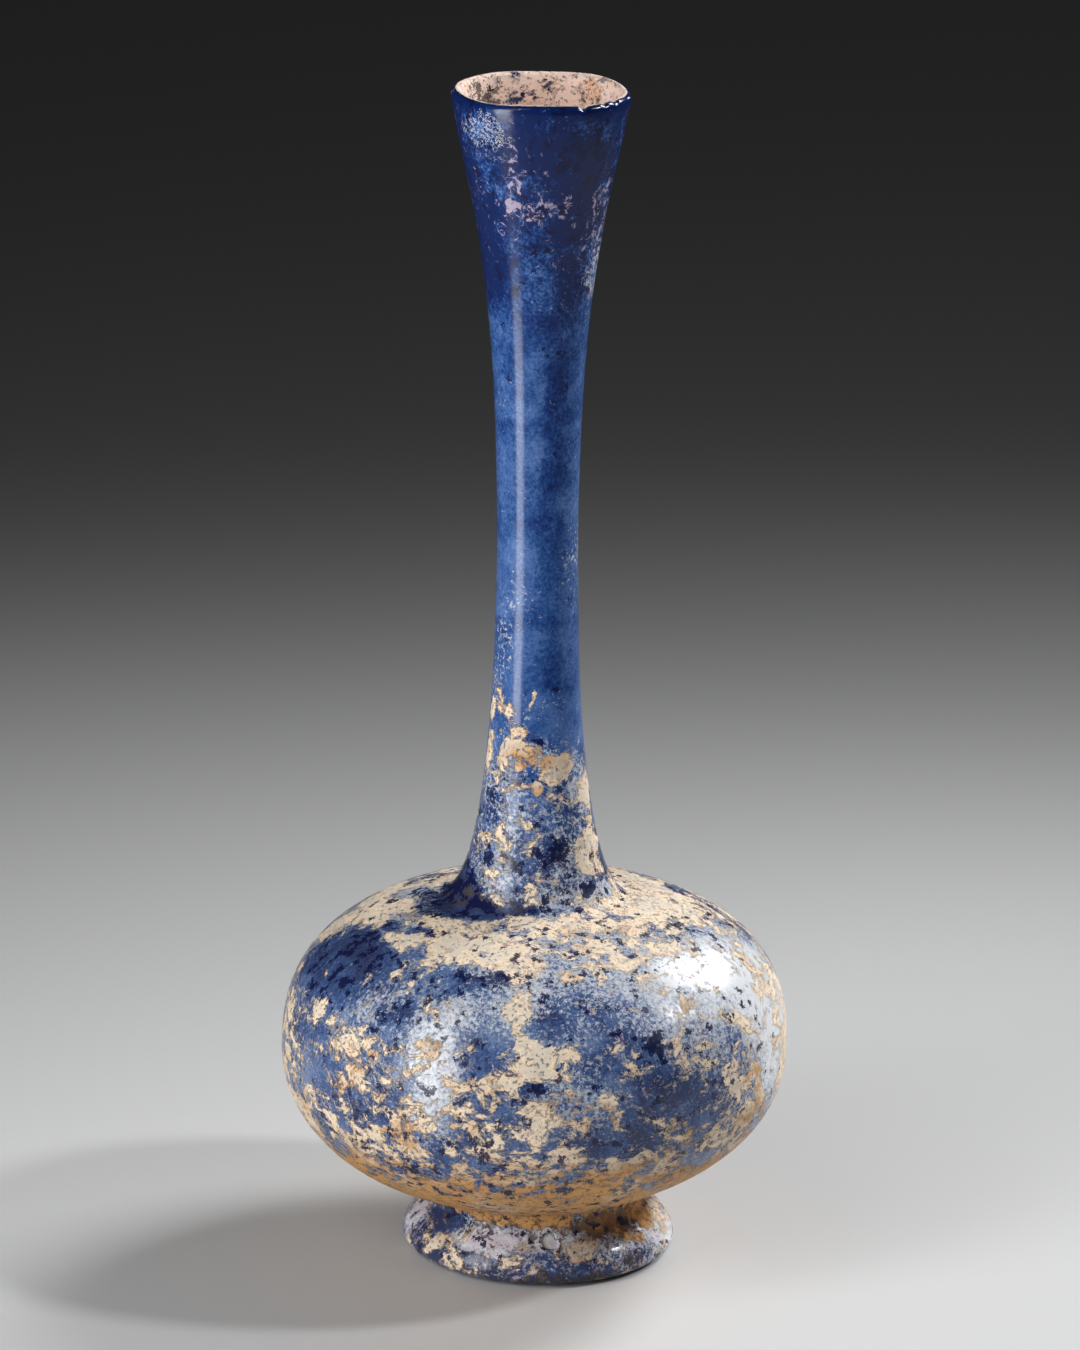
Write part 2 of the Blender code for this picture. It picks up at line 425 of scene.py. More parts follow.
PATCHES: tuple[Patch, ...] = (
    # Deep blue of the body's upper left, and the cream islands in it
    Patch(Mark.DEEP, -66, 65, 34, 20, 15, 0.62),
    Patch(Mark.DEEP, -68, 68, 16, 7, 10, 0.35),
    Patch(Mark.DEEP, -36, 62, 9, 6, 20, 0.40),
    Patch(Mark.DEEP, -24, 67, 22, 7, 12, 0.40),
    Patch(Mark.CREAM, -70, 63.5, 6, 6, 60, 0.62),
    Patch(Mark.CREAM, -53, 64.3, 3, 5, 0, 0.62),
    Patch(Mark.CREAM, -63, 57, 6, 7, 70, 0.58),
    Patch(Mark.CREAM, -56, 70, 11, 7, 15, 0.55),
    Patch(Mark.CREAM, -44.6, 53.0, 10, 12, -20, 0.36),
    Patch(Mark.CREAM, -26, 71.3, 20, 8, 8, 0.48),
    Patch(Mark.CREAM, -12, 70, 9, 5, -10, 0.55),
    Patch(Mark.CREAM, -98, 70, 30, 10, 0, 0.38),
    # Painted shadow of the neck across the shoulder's left, over deep navy film.
    Patch(Mark.DEEP, -77, 73.6, 26, 7, 8, 0.48),
    Patch(Mark.DEEP, -60, 71.5, 16, 4, 15, 0.30),
    Patch(Mark.CREAM, -93, 66, 12, 8, 20, 0.45),
    Patch(Mark.BARE, -17, 71, 3, 2, 0, 0.7),
    Patch(Mark.BARE, -3, 70, 2, 1.5, 0, 0.7),
    # Left side, below the widest ring of the deep blue
    Patch(Mark.MID_BLUE, -60, 48, 18, 12, -10, 0.35),
    Patch(Mark.CREAM, -75, 36, 14, 26, 10, 0.22),
    # Pale haze and lilac sheen here are partly the film and partly a painted highlight of the
    # front-left box.
    Patch(Mark.PALE, -23, 53, 13, 26, 0, 0.55),
    Patch(Mark.LILAC, -22, 52, 9, 18, 0, 0.20),
    Patch(Mark.OCHRE, -25, 57.7, 5, 5, 20, 0.50),
    # Middle: the long cream figure and the blue round it
    Patch(Mark.MID_BLUE, 16, 62, 30, 18, -8, 0.45),
    Patch(Mark.MID_BLUE, -9, 62, 14, 12, 10, 0.30),
    Patch(Mark.CREAM, -3.4, 64.5, 7, 6, 20, 0.62),
    Patch(Mark.CREAM, -3.5, 60.5, 5, 9, 0, 0.78),
    Patch(Mark.CREAM, 0, 57.5, 9, 5, -20, 0.58),
    Patch(Mark.CREAM, 6.7, 57.4, 13, 4.5, -8, 0.42),
    Patch(Mark.CREAM, -2, 53.5, 12, 5, 8, 0.25),
    Patch(Mark.CREAM, 8, 50, 6, 4, 0, 0.30),
    Patch(Mark.CREAM, 3.8, 63, 5, 1.6, 0, 0.55),
    Patch(Mark.BARE, 0.8, 50.5, 5, 2.8, -10, 0.85),
    Patch(Mark.MID_BLUE, -9, 57, 5, 7, 20, 0.40),
    Patch(Mark.MID_BLUE, 6, 61.5, 8, 5, -10, 0.40),
    Patch(Mark.MID_BLUE, 14, 53.0, 14, 6, -4, 0.45),
    Patch(Mark.BARE, 30, 56.6, 7, 6, 10, 0.55),
    Patch(Mark.BARE, 22.6, 63.6, 2, 2, 0, 0.8),
    Patch(Mark.CREAM, 8, 43.4, 16, 6, -12, 0.08),
    # Right side: white haze, cream bands and dark spots
    Patch(Mark.PALE, 48, 64, 38, 24, 0, 0.50),
    Patch(Mark.PALE, 76, 50, 34, 44, 0, 0.85),
    Patch(Mark.CREAM, 84, 46, 26, 40, 0, 0.50),
    Patch(Mark.CREAM, 50, 70, 10, 5, 0, 0.5),
    Patch(Mark.CREAM, 30, 69.6, 4, 6, 0, 0.5),
    Patch(Mark.CREAM, 76, 62, 5, 10, 10, 0.6),
    Patch(Mark.CREAM, 70, 58, 4, 8, 0, 0.4),
    Patch(Mark.MID_BLUE, 67, 58, 5, 7, 0, 0.5),
    Patch(Mark.CREAM, 60, 56, 5, 4, 0, 0.5),
    Patch(Mark.BARE, 46, 57.2, 1.6, 2.6, 0, 0.8),
    # Clears the crust where the right-back box's highlight falls, and paints a pale highlight there.
    Patch(Mark.PALE, 43, 67.0, 7, 6, 0, 0.62),
    Patch(Mark.BARE, 36, 70, 1.6, 1.8, 0, 0.8),
    Patch(Mark.CREAM, 96, 73, 34, 10, 0, 0.40),
    Patch(Mark.CREAM, 84, 71, 10, 6, 0, 0.50),
    Patch(Mark.SLATE, 36, 46, 26, 13, -6, 0.38),
    Patch(Mark.OCHRE, 56, 45, 10, 3, 20, 0.50),
    Patch(Mark.OCHRE, 62, 42, 3, 10, 0, 0.45),
    Patch(Mark.OCHRE, 56, 37, 9, 5, 0, 0.50),
    Patch(Mark.OCHRE, 24, 32.4, 9, 5, 40, 0.62),
    # Underside of the body
    Patch(Mark.OCHRE, -50, 23, 40, 12, -8, 0.35),
    Patch(Mark.DEEP, 8, 27.5, 6, 2.5, 0, 0.5),
    Patch(Mark.DEEP, 22, 38, 22, 8, -10, 0.25),
    # Root of the neck. The deep blue and dark earth at its left and front are painted shadow of the
    # neck; the rest are its own spots.
    Patch(Mark.DEEP, -86, 77.6, 22, 9, 0, 0.75),
    Patch(Mark.DEEP, -66, 75.0, 30, 6, 0, 0.60),
    Patch(Mark.DIRT, -78, 76.4, 34, 8, 0, 0.75),
    Patch(Mark.DEEP, -30, 75.8, 20, 4, 0, 0.42),
    Patch(Mark.DIRT, -32, 76.0, 22, 4, 0, 0.25),
    Patch(Mark.DEEP, 2, 75.6, 14, 3, 0, 0.22),
    Patch(Mark.CREAM, -4, 78, 4, 5, 0, 0.20),
    Patch(Mark.MID_BLUE, -22, 79, 7, 8, 0, 0.32),
    Patch(Mark.CREAM, -39, 81, 4.5, 3, 0, 0.15),
    Patch(Mark.SLATE, 20, 83, 10, 12, 0, 0.35),
    Patch(Mark.BARE, 45, 78.6, 4, 3.4, -15, 0.95),
    Patch(Mark.BARE, 64, 76.6, 1.8, 2, 0, 0.95),
    Patch(Mark.BARE, 31, 75.2, 1.6, 1.6, 0, 0.9),
    Patch(Mark.PALE, 60, 76, 14, 6, 0, 0.45),
    # Neck: painted shade in a darker band up its right half, and cream patches low down
    Patch(Mark.SHADE, 22, 160, 6, 130, 0, 0.20),
    Patch(Mark.SHADE, -80, 215, 16, 40, 0, 0.28),
    Patch(Mark.SHADE, 0, 228, 24, 15, 0, 0.26),
    Patch(Mark.SLATE, -46, 205, 4, 14, 0, 0.35),
    Patch(Mark.SLATE, 28, 208, 6, 16, 0, 0.40),
    Patch(Mark.PALE, 74, 208, 8, 40, 0, 0.42),
    Patch(Mark.LILAC, 62, 214, 10, 30, 0, 0.24),
    Patch(Mark.CREAM, -62, 116.5, 5, 13, 0, 0.95),
    Patch(Mark.CREAM, -40, 114.2, 5, 4, -20, 0.95),
    Patch(Mark.CREAM, -70, 108, 4, 16, 0, 0.8),
    Patch(Mark.CREAM, -2.5, 119, 1.4, 3.0, 0, 1.2),
    Patch(Mark.CREAM, -4, 116.5, 1.2, 4.5, -20, 1.1),
    Patch(Mark.CREAM, -22, 108.6, 9, 7, -20, 0.66),
    Patch(Mark.CREAM, -15, 105, 5, 6, 0, 0.58),
    Patch(Mark.CREAM, -38, 107, 4, 7, 0, 0.8),
    Patch(Mark.CREAM, 7, 105.6, 8, 4, -15, 0.58),
    Patch(Mark.CREAM, 25, 103.6, 8, 7, -10, 0.92),
    Patch(Mark.RUST, 24, 104, 9, 7, 0, 0.45),
    Patch(Mark.RUST, -12, 105, 12, 7, 0, 0.30),
    Patch(Mark.BARE, -2, 109, 4, 2.4, -20, 0.6),
    Patch(Mark.BARE, 12, 107, 2, 2, 0, 0.6),
    Patch(Mark.MID_BLUE, 25, 112, 9, 6, 0, 0.5),
    Patch(Mark.CREAM, 3, 99, 2.4, 2.4, 0, 0.7),
    Patch(Mark.CREAM, 70, 92, 5, 22, 0, 0.55),
    Patch(Mark.PALE, 58, 100, 6, 22, 0, 0.35),
    Patch(Mark.CREAM, 52, 85, 5, 7, 0, 0.6),
    Patch(Mark.BARE, -17, 84.5, 4, 5, 0, 0.55),
    Patch(Mark.BARE, 5, 86, 4, 8, 0, 0.45),
    Patch(Mark.BARE, 24, 87, 4, 4, 0, 0.60),
    Patch(Mark.BARE, -46, 97, 4, 4, 0, 0.45),
    Patch(Mark.BARE, -42, 84, 3, 5, 0, 0.50),
    Patch(Mark.DIRT, 40, 90, 9, 20, 0, 0.28),
    # Mouth: web of fine cracks, lilac flakes, dark right side
    Patch(Mark.WEB, -42, 232.2, 14, 8, 0, 0.85),
    Patch(Mark.WEB, -30, 228, 12, 8, 0, 0.35),
    Patch(Mark.MID_BLUE, -38, 230, 12, 9, 0, 0.40),
    Patch(Mark.LILAC, -25, 217.3, 4, 3.6, 20, 0.70),
    Patch(Mark.LILAC, 9, 217.5, 13, 5.5, 15, 0.34),
    Patch(Mark.LILAC, -4, 214.5, 4, 4, 0, 0.35),
    Patch(Mark.LILAC, -18, 222, 4, 5, 0, 0.50),
    Patch(Mark.LILAC, -20, 229, 2.5, 10, 0, 0.35),
    Patch(Mark.DEEP, 40, 227, 18, 18, 0, 0.42),
    Patch(Mark.BARE, 38, 230, 9, 5, 0, 0.45),
    # Inside of the mouth: crackled left, blue patch at the back, ochre and white to the right
    Patch(Mark.DIRT, -125, 234, 18, 8, 0, 0.55, Skin.INSIDE),
    Patch(Mark.BARE, -122, 234, 16, 8, 0, 0.45, Skin.INSIDE),
    Patch(Mark.DEEP, -167, 233.8, 12, 7, 10, 0.62, Skin.INSIDE),
    Patch(Mark.OCHRE, 142, 233.5, 12, 7, 0, 0.68, Skin.INSIDE),
    Patch(Mark.DIRT, 142, 233, 10, 6, 0, 0.35, Skin.INSIDE),
    Patch(Mark.LILAC, 114, 234.5, 5, 5, 0, 0.5, Skin.INSIDE),
    # Foot
    Patch(Mark.LILAC, -78, 9, 10, 11, 0, 0.40),
    Patch(Mark.PALE, -80, 8, 12, 12, 0, 0.75),
    Patch(Mark.DEEP, -52, 9.0, 11, 7, 10, 0.50),
    Patch(Mark.CREAM, -50, 5, 6, 4, 30, 0.7),
    Patch(Mark.CREAM, -38, 3.0, 5, 3, 10, 0.6),
    Patch(Mark.DEEP, -48, 3.3, 5, 2, 0, 0.6),
    # Pale haze and lilac at the foot's front left: partly the film, partly painted highlights of the
    # front-left box.
    Patch(Mark.LILAC, -25, 8.4, 15, 7, 0, 0.32),
    Patch(Mark.PALE, -25, 8.4, 15, 7, 0, 0.95),
    Patch(Mark.PALE, -20, 4.0, 8, 2, 0, 0.40),
    Patch(Mark.PALE, 5, 9.2, 14, 5, 0, 0.55),
    Patch(Mark.CREAM, 22, 7.2, 7, 3, 20, 0.5),
    # Dark earth at the foot's right waist, partly painted shade in the recess under the body.
    Patch(Mark.DIRT, 40, 10.5, 18, 8, 0, 0.45),
    Patch(Mark.RUST, 50, 9.5, 20, 9, 0, 0.40),
    Patch(Mark.OCHRE, 66, 10.2, 7, 7, 20, 0.8),
    Patch(Mark.OCHRE, 54, 7.0, 3.5, 2, 0, 0.7),
    Patch(Mark.PALE, 76, 6.5, 14, 11, 0, 0.9),
    Patch(Mark.CREAM, 80, 8.0, 10, 8, 0, 0.55),
    Patch(Mark.SLATE, 46, 3.8, 9, 3, 0, 0.5),
    Patch(Mark.SLATE, 12, 2.0, 26, 3, 0, 0.5),
    # Navy ring round the foot's scar: painted shade of its sunken edge, round the pale floor of the
    # scar.
    Patch(Mark.BARE, 5.6, 8.8, 5.4, 4.0, -12, 1.0),
    Patch(Mark.SCAR, 5.9, 8.7, 4.4, 3.0, -12, 0.95),
)

FOOT_SCAR = Patch(Mark.FORM, 5.7, 8.8, 4.4, 4.4, -12)
RIGHT_SWELLING = Patch(Mark.FORM, 88, 44, 90, 60)
LIP_FLAKE = Patch(Mark.FORM, 80, 236, 5, 3)


@dataclass(frozen=True)
class LipWave:
    """Slow rise and fall of the lip, a number of times round it."""

    height_mm: float
    times_round: int
    phase: float


@dataclass(frozen=True)
class LipChip:
    """Small chip out of the top of the lip.

    Attributes:
        bearing: its middle, in degrees round the flask.
        width_mm: its whole width.
        depth_mm: its depth.
        level_share: how far from the middle its floor is level, as a share of its width.
    """

    bearing: float
    width_mm: float
    depth_mm: float
    level_share: float = 0.2


LIP_WAVES: tuple[LipWave, ...] = (
    LipWave(0.16, 3, 0.6),
    LipWave(0.12, 5, 2.1),
)
LIP_CHIPS: tuple[LipChip, ...] = (
    LipChip(29.0, 2.2, 0.45),
    LipChip(46.0, 1.6, 0.25),
    LipChip(58.0, 2.4, 0.35),
    LipChip(-96.0, 1.8, 0.25),
)


class Grain(NamedTuple):
    """Settings of a fractal noise, in the order in which Graph.noise takes them."""

    scale: float
    detail: float
    roughness: float = 0.6
    distortion: float = 0.0


class Graph:
    """Short way to place nodes in one tree and join them."""

    def __init__(self, tree: bpy.types.NodeTree) -> None:
        """Keep the tree that the nodes go into."""
        self.tree = tree

    def node(self, kind: str, **settings: object) -> bpy.types.Node:
        """Place a node and give it its settings.

        Args:
            kind: the node's type.
            settings: its properties, by name.

        Returns:
            The node.
        """
        placed = self.tree.nodes.new(kind)
        for name, value in settings.items():
            setattr(placed, name, value)
        return placed

    def feed(self, socket: Socket, source: Input) -> None:
        """Join a source to an input, or set the input where the source is a plain value."""
        if isinstance(source, bpy.types.NodeSocket):
            self.tree.links.new(source, socket)
        else:
            socket.default_value = source

    def math(self, operation: str, first: Input, second: Input) -> Socket:
        """Work out one operation on two values.

        Args:
            operation: the operation.
            first: the first value.
            second: the second value.

        Returns:
            The result.
        """
        placed = self.node("ShaderNodeMath", operation=operation)
        self.feed(placed.inputs[0], first)
        self.feed(placed.inputs[1], second)
        return placed.outputs[0]

    def plus(self, first: Input, second: Input) -> Socket:
        """Return the sum of two values."""
        return self.math("ADD", first, second)

    def minus(self, first: Input, second: Input) -> Socket:
        """Return the first value less the second."""
        return self.math("SUBTRACT", first, second)

    def times(self, first: Input, second: Input) -> Socket:
        """Return the product of two values."""
        return self.math("MULTIPLY", first, second)

    def larger(self, first: Input, second: Input) -> Socket:
        """Return the larger of two values."""
        return self.math("MAXIMUM", first, second)

    def blend(self, share: Input, below: Input, above: Input) -> Socket:
        """Cover one colour by another.

        Args:
            share: how far the colour above covers the one below.
            below: the colour below.
            above: the colour above.

        Returns:
            The mixed colour.
        """
        placed = self.node("ShaderNodeMix", data_type="RGBA")
        self.feed(placed.inputs[0], share)
        self.feed(placed.inputs[6], below)
        self.feed(placed.inputs[7], above)
        return placed.outputs[2]

    def lerp(self, share: Input, low: Input, high: Input) -> Socket:
        """Go a share of the way from one value to another.

        Args:
            share: how far the value has gone from low to high.
            low: its start.
            high: its end.

        Returns:
            The value.
        """
        placed = self.node("ShaderNodeMix", data_type="FLOAT")
        self.feed(placed.inputs[0], share)
        self.feed(placed.inputs[2], low)
        self.feed(placed.inputs[3], high)
        return placed.outputs[0]

    def step(self, value: Input, low: Input, high: Input) -> Socket:
        """Rise smoothly from 0 to 1.

        Args:
            value: the value that makes it rise.
            low: where it starts to rise.
            high: where it is fully up.

        Returns:
            The share.
        """
        placed = self.node("ShaderNodeMapRange", interpolation_type="SMOOTHSTEP")
        self.feed(placed.inputs[0], value)
        self.feed(placed.inputs[1], low)
        self.feed(placed.inputs[2], high)
        return placed.outputs[0]

    def noise(
        self,
        place: Input,
        scale: Input,
        detail: Input,
        roughness: Input = 0.6,
        distortion: Input = 0.0,
    ) -> bpy.types.Node:
        """Place a fractal noise, whose Fac lies about 0.5.

        Args:
            place: where it is read.
            scale: how many of its waves lie along a metre.
            detail: how many finer waves are added.
            roughness: how strong the finer waves are.
            distortion: how far it is swirled.

        Returns:
            The node.
        """
        placed = self.node("ShaderNodeTexNoise")
        self.feed(placed.inputs["Vector"], place)
        self.feed(placed.inputs["Scale"], scale)
        self.feed(placed.inputs["Detail"], detail)
        self.feed(placed.inputs["Roughness"], roughness)
        self.feed(placed.inputs["Distortion"], distortion)
        return placed

    def swing(self, *settings: Input) -> Socket:
        """Return the swing about 0 of a fractal noise, which is given its settings in order."""
        return self.minus(self.noise(*settings).outputs["Fac"], 0.5)

    def frayed(
        self, place: Socket, scale: Socket, fineness: float, detail: float, reach: float
    ) -> Socket:
        """Return a place shifted this way and that, which frays the cells read from it.

        Args:
            place: the place.
            scale: the scale of the cells.
            fineness: how many times finer than the cells the shifts are.
            detail: the detail of the shifts.
            reach: how far the shifts go, against the size of a cell.

        Returns:
            The shifted place.
        """
        fray = self.noise(place, self.times(scale, fineness), detail)
        shift = self.node("ShaderNodeVectorMath", operation="SUBTRACT")
        self.feed(shift.inputs[0], fray.outputs["Color"])
        self.feed(shift.inputs[1], (0.5, 0.5, 0.5))
        moved = self.node("ShaderNodeVectorMath", operation="MULTIPLY_ADD")
        self.feed(moved.inputs[0], shift.outputs[0])
        self.feed(moved.inputs[1], self.math("DIVIDE", reach, scale))
        self.feed(moved.inputs[2], place)
        return moved.outputs[0]

    def ramp(self, value: Socket, stops: Sequence[tuple[float, Colour]]) -> Socket:
        """Pick a colour from a row of stops.

        Args:
            value: the value that picks a colour.
            stops: the positions and colours of the stops, in order.

        Returns:
            The colour.
        """
        placed = self.node("ShaderNodeValToRGB")
        elements = placed.color_ramp.elements
        while len(elements) < len(stops):
            elements.new(0.5)
        for element, (position, colour) in zip(elements, stops):
            element.position = position
            element.color = colour
        self.feed(placed.inputs[0], value)
        return placed.outputs[0]

    def group(self, tree: bpy.types.NodeTree, **inputs: Input) -> bpy.types.Node:
        """Place a node group and feed its inputs.

        Args:
            tree: the group.
            inputs: what is fed to its inputs, by name.

        Returns:
            The group's node.
        """
        placed = self.node("ShaderNodeGroup")
        placed.node_tree = tree
        for name, source in inputs.items():
            self.feed(placed.inputs[name], source)
        return placed


def new_group(
    name: str, outputs: Sequence[str], **inputs: float
) -> tuple[Graph, dict[str, Socket], bpy.types.Node]:
    """Start a shader node group that reads a vector and some values.

    Args:
        name: the group's name.
        outputs: the names of the values that it puts out.
        inputs: the values that it reads, each with what it is where nothing is fed to it.

    Returns:
        The graph of the group, its inputs by name, and the node that takes its outputs.
    """
    tree = bpy.data.node_groups.new(name, "ShaderNodeTree")
    tree.interface.new_socket("vector", in_out="INPUT", socket_type="NodeSocketVector")
    for title, value in inputs.items():
        socket = tree.interface.new_socket(title, in_out="INPUT", socket_type="NodeSocketFloat")
        socket.default_value = value
    for title in outputs:
        tree.interface.new_socket(title, in_out="OUTPUT", socket_type="NodeSocketFloat")
    graph = Graph(tree)
    entry = graph.node("NodeGroupInput")
    given = {title: entry.outputs[title] for title in ("vector", *inputs)}
    return graph, given, graph.node("NodeGroupOutput")


class WeatherGroups:
    """The node groups that the flask's materials share.

    Attributes:
        flake_fray: the fineness, detail and reach of the fray round each flake.
        flake_spread: how fast likely places for flakes change, against the flakes' scale.
        flake_detail: how finely those places are drawn.
        flake_chance: how much chance has to do with which flakes lie there.
        flake_edge: the range in which a flake comes on.
        web_fray: the fineness, detail and reach of the bends of the cracks.
        web_break: how fast the web breaks off and goes on, against its scale.
        web_detail: how finely its breaks are drawn.
        web_gaps: the range in which the web comes on.
    """

    flake_fray: tuple[float, float, float] = (1.7, 2.0, 2.2)
    flake_spread: float = 0.42
    flake_detail: float = 3.0
    flake_chance: float = 0.45
    flake_edge: tuple[float, float] = (0.49, 0.51)
    web_fray: tuple[float, float, float] = (0.8, 3.0, 2.6)
    web_break: float = 0.5
    web_detail: float = 4.0
    web_gaps: tuple[float, float] = (0.95, 1.15)

    def __init__(self) -> None:
        """Build each group once."""
        self.ragged = self.build_ragged()
        self.flaked = self.build_flaked()
        self.webbed = self.build_webbed()

    def build_ragged(self) -> bpy.types.NodeTree:
        """Make the group that breaks a cover up into ragged patches.

        A cover of 0 leaves nothing, 0.5 covers half, and 1 covers nearly all.

        Returns:
            The group.
        """
        graph, given, leaving = new_group(
            "ragged_cover", ("mask", "rise"), cover=0.5, scale=150.0, detail=8.0, roughness=0.62,
            distortion=0.0, gain=2.6, softness=0.06,
        )
        swing = graph.swing(
            given["vector"], given["scale"], given["detail"], given["roughness"],
            given["distortion"],
        )
        lifted = graph.plus(graph.times(swing, given["gain"]), given["cover"])
        rise = graph.minus(lifted, 0.5)
        low = graph.times(given["softness"], -1.0)
        graph.feed(leaving.inputs["mask"], graph.step(rise, low, given["softness"]))
        graph.feed(leaving.inputs["rise"], rise)
        return graph.tree

    def build_flaked(self) -> bpy.types.NodeTree:
        """Make the group that covers by whole crisp-edged flakes, one cell at a time.

        Returns:
            The group.
        """
        graph, given, leaving = new_group(
            "flaked_cover", ("mask",), cover=0.2, scale=700.0, gain=2.2
        )
        cells = graph.node("ShaderNodeTexVoronoi")
        frayed = graph.frayed(given["vector"], given["scale"], *self.flake_fray)
        graph.feed(cells.inputs["Vector"], frayed)
        graph.feed(cells.inputs["Scale"], given["scale"])
        draw = graph.node("ShaderNodeSeparateColor")
        graph.feed(draw.inputs[0], cells.outputs["Color"])
        spread = graph.times(given["scale"], self.flake_spread)
        swing = graph.swing(cells.outputs["Position"], spread, self.flake_detail)
        chance = graph.times(graph.minus(draw.outputs[0], 0.5), self.flake_chance)
        likely = graph.plus(graph.times(swing, given["gain"]), chance)
        total = graph.plus(likely, given["cover"])
        graph.feed(leaving.inputs["mask"], graph.step(total, *self.flake_edge))
        return graph.tree

    def build_webbed(self) -> bpy.types.NodeTree:
        """Make the group that draws a broken web of fine cracks.

        Returns:
            The group.
        """
        graph, given, leaving = new_group(
            "crack_web", ("mask",), cover=0.0, scale=900.0, width=0.05
        )
        cells = graph.node("ShaderNodeTexVoronoi", feature="DISTANCE_TO_EDGE")
        bent = graph.frayed(given["vector"], given["scale"], *self.web_fray)
        graph.feed(cells.inputs["Vector"], bent)
        graph.feed(cells.inputs["Scale"], given["scale"])
        line = graph.step(cells.outputs["Distance"], given["width"], 0.0)
        breaks = graph.noise(
            given["vector"], graph.times(given["scale"], self.web_break), self.web_detail
        )
        kept = graph.plus(breaks.outputs["Fac"], given["cover"])
        graph.feed(leaving.inputs["mask"], graph.times(line, graph.step(kept, *self.web_gaps)))
        return graph.tree


@dataclass(frozen=True)
class Flecks:
    """How a layer of weathering breaks up into ragged patches.

    Attributes:
        scale: how many of the largest patches lie along a metre.
        detail: how finely their edges are drawn.
        roughness: how strong the fine flecks are beside the large patches.
        distortion: how far the patches are swirled.
        gain: how strongly patches stand out against the layer's own cover.
        softness: how softly their edges fade.
    """

    scale: float
    detail: float
    roughness: float
    distortion: float
    gain: float
    softness: float


class Coats:
    """The coats of one material while they are laid, from the bare glass up.

    Attributes:
        graph: the material's nodes.
        groups: the node groups that the flask's materials share.
        place: where each point is.
        streaked: the same place squeezed in height, which lengthens patches round the flask.
        share: each channel's share at each point.
        colour: the colour of what is laid so far.
        roughness: the roughness of what is laid so far.
    """

    def __init__(self, tree: bpy.types.NodeTree, groups: WeatherGroups, streaks: float) -> None:
        """Read the places and the shares, with nothing laid yet.

        Args:
            tree: the material's node tree.
            groups: the node groups that the flask's materials share.
            streaks: how far patches are lengthened round the flask.
        """
        self.graph = Graph(tree)
        self.groups = groups
        self.place = self.graph.node("ShaderNodeTexCoord").outputs["Object"]
        squeezed = self.graph.node("ShaderNodeMapping")
        squeezed.inputs["Scale"].default_value = (1.0, 1.0, streaks)
        self.graph.feed(squeezed.inputs["Vector"], self.place)
        self.streaked = squeezed.outputs[0]
        self.share = {channel: self.read(channel) for channel in Channel}
        self.colour: Input = (0.0, 0.0, 0.0, 1.0)
        self.roughness: Input = 0.5

    def read(self, channel: Channel) -> Socket:
        """Return the share of a channel at each point of the skin."""
        placed = self.graph.node("ShaderNodeAttribute", attribute_name=channel.value)
        return placed.outputs["Fac"]

    def lay(self, share: Input, colour: Input) -> None:
        """Lay a colour over what is there, as far as the share says."""
        self.colour = self.graph.blend(share, self.colour, colour)

    def roughen(self, share: Input, roughness: float) -> None:
        """Bring the roughness to another one, as far as the share says."""
        self.roughness = self.graph.lerp(share, self.roughness, roughness)

    def ragged(self, place: Socket, cover: Input, flecks: Flecks) -> bpy.types.Node:
        """Return the node that breaks a cover up into ragged patches."""
        return self.graph.group(self.groups.ragged, vector=place, cover=cover, **asdict(flecks))


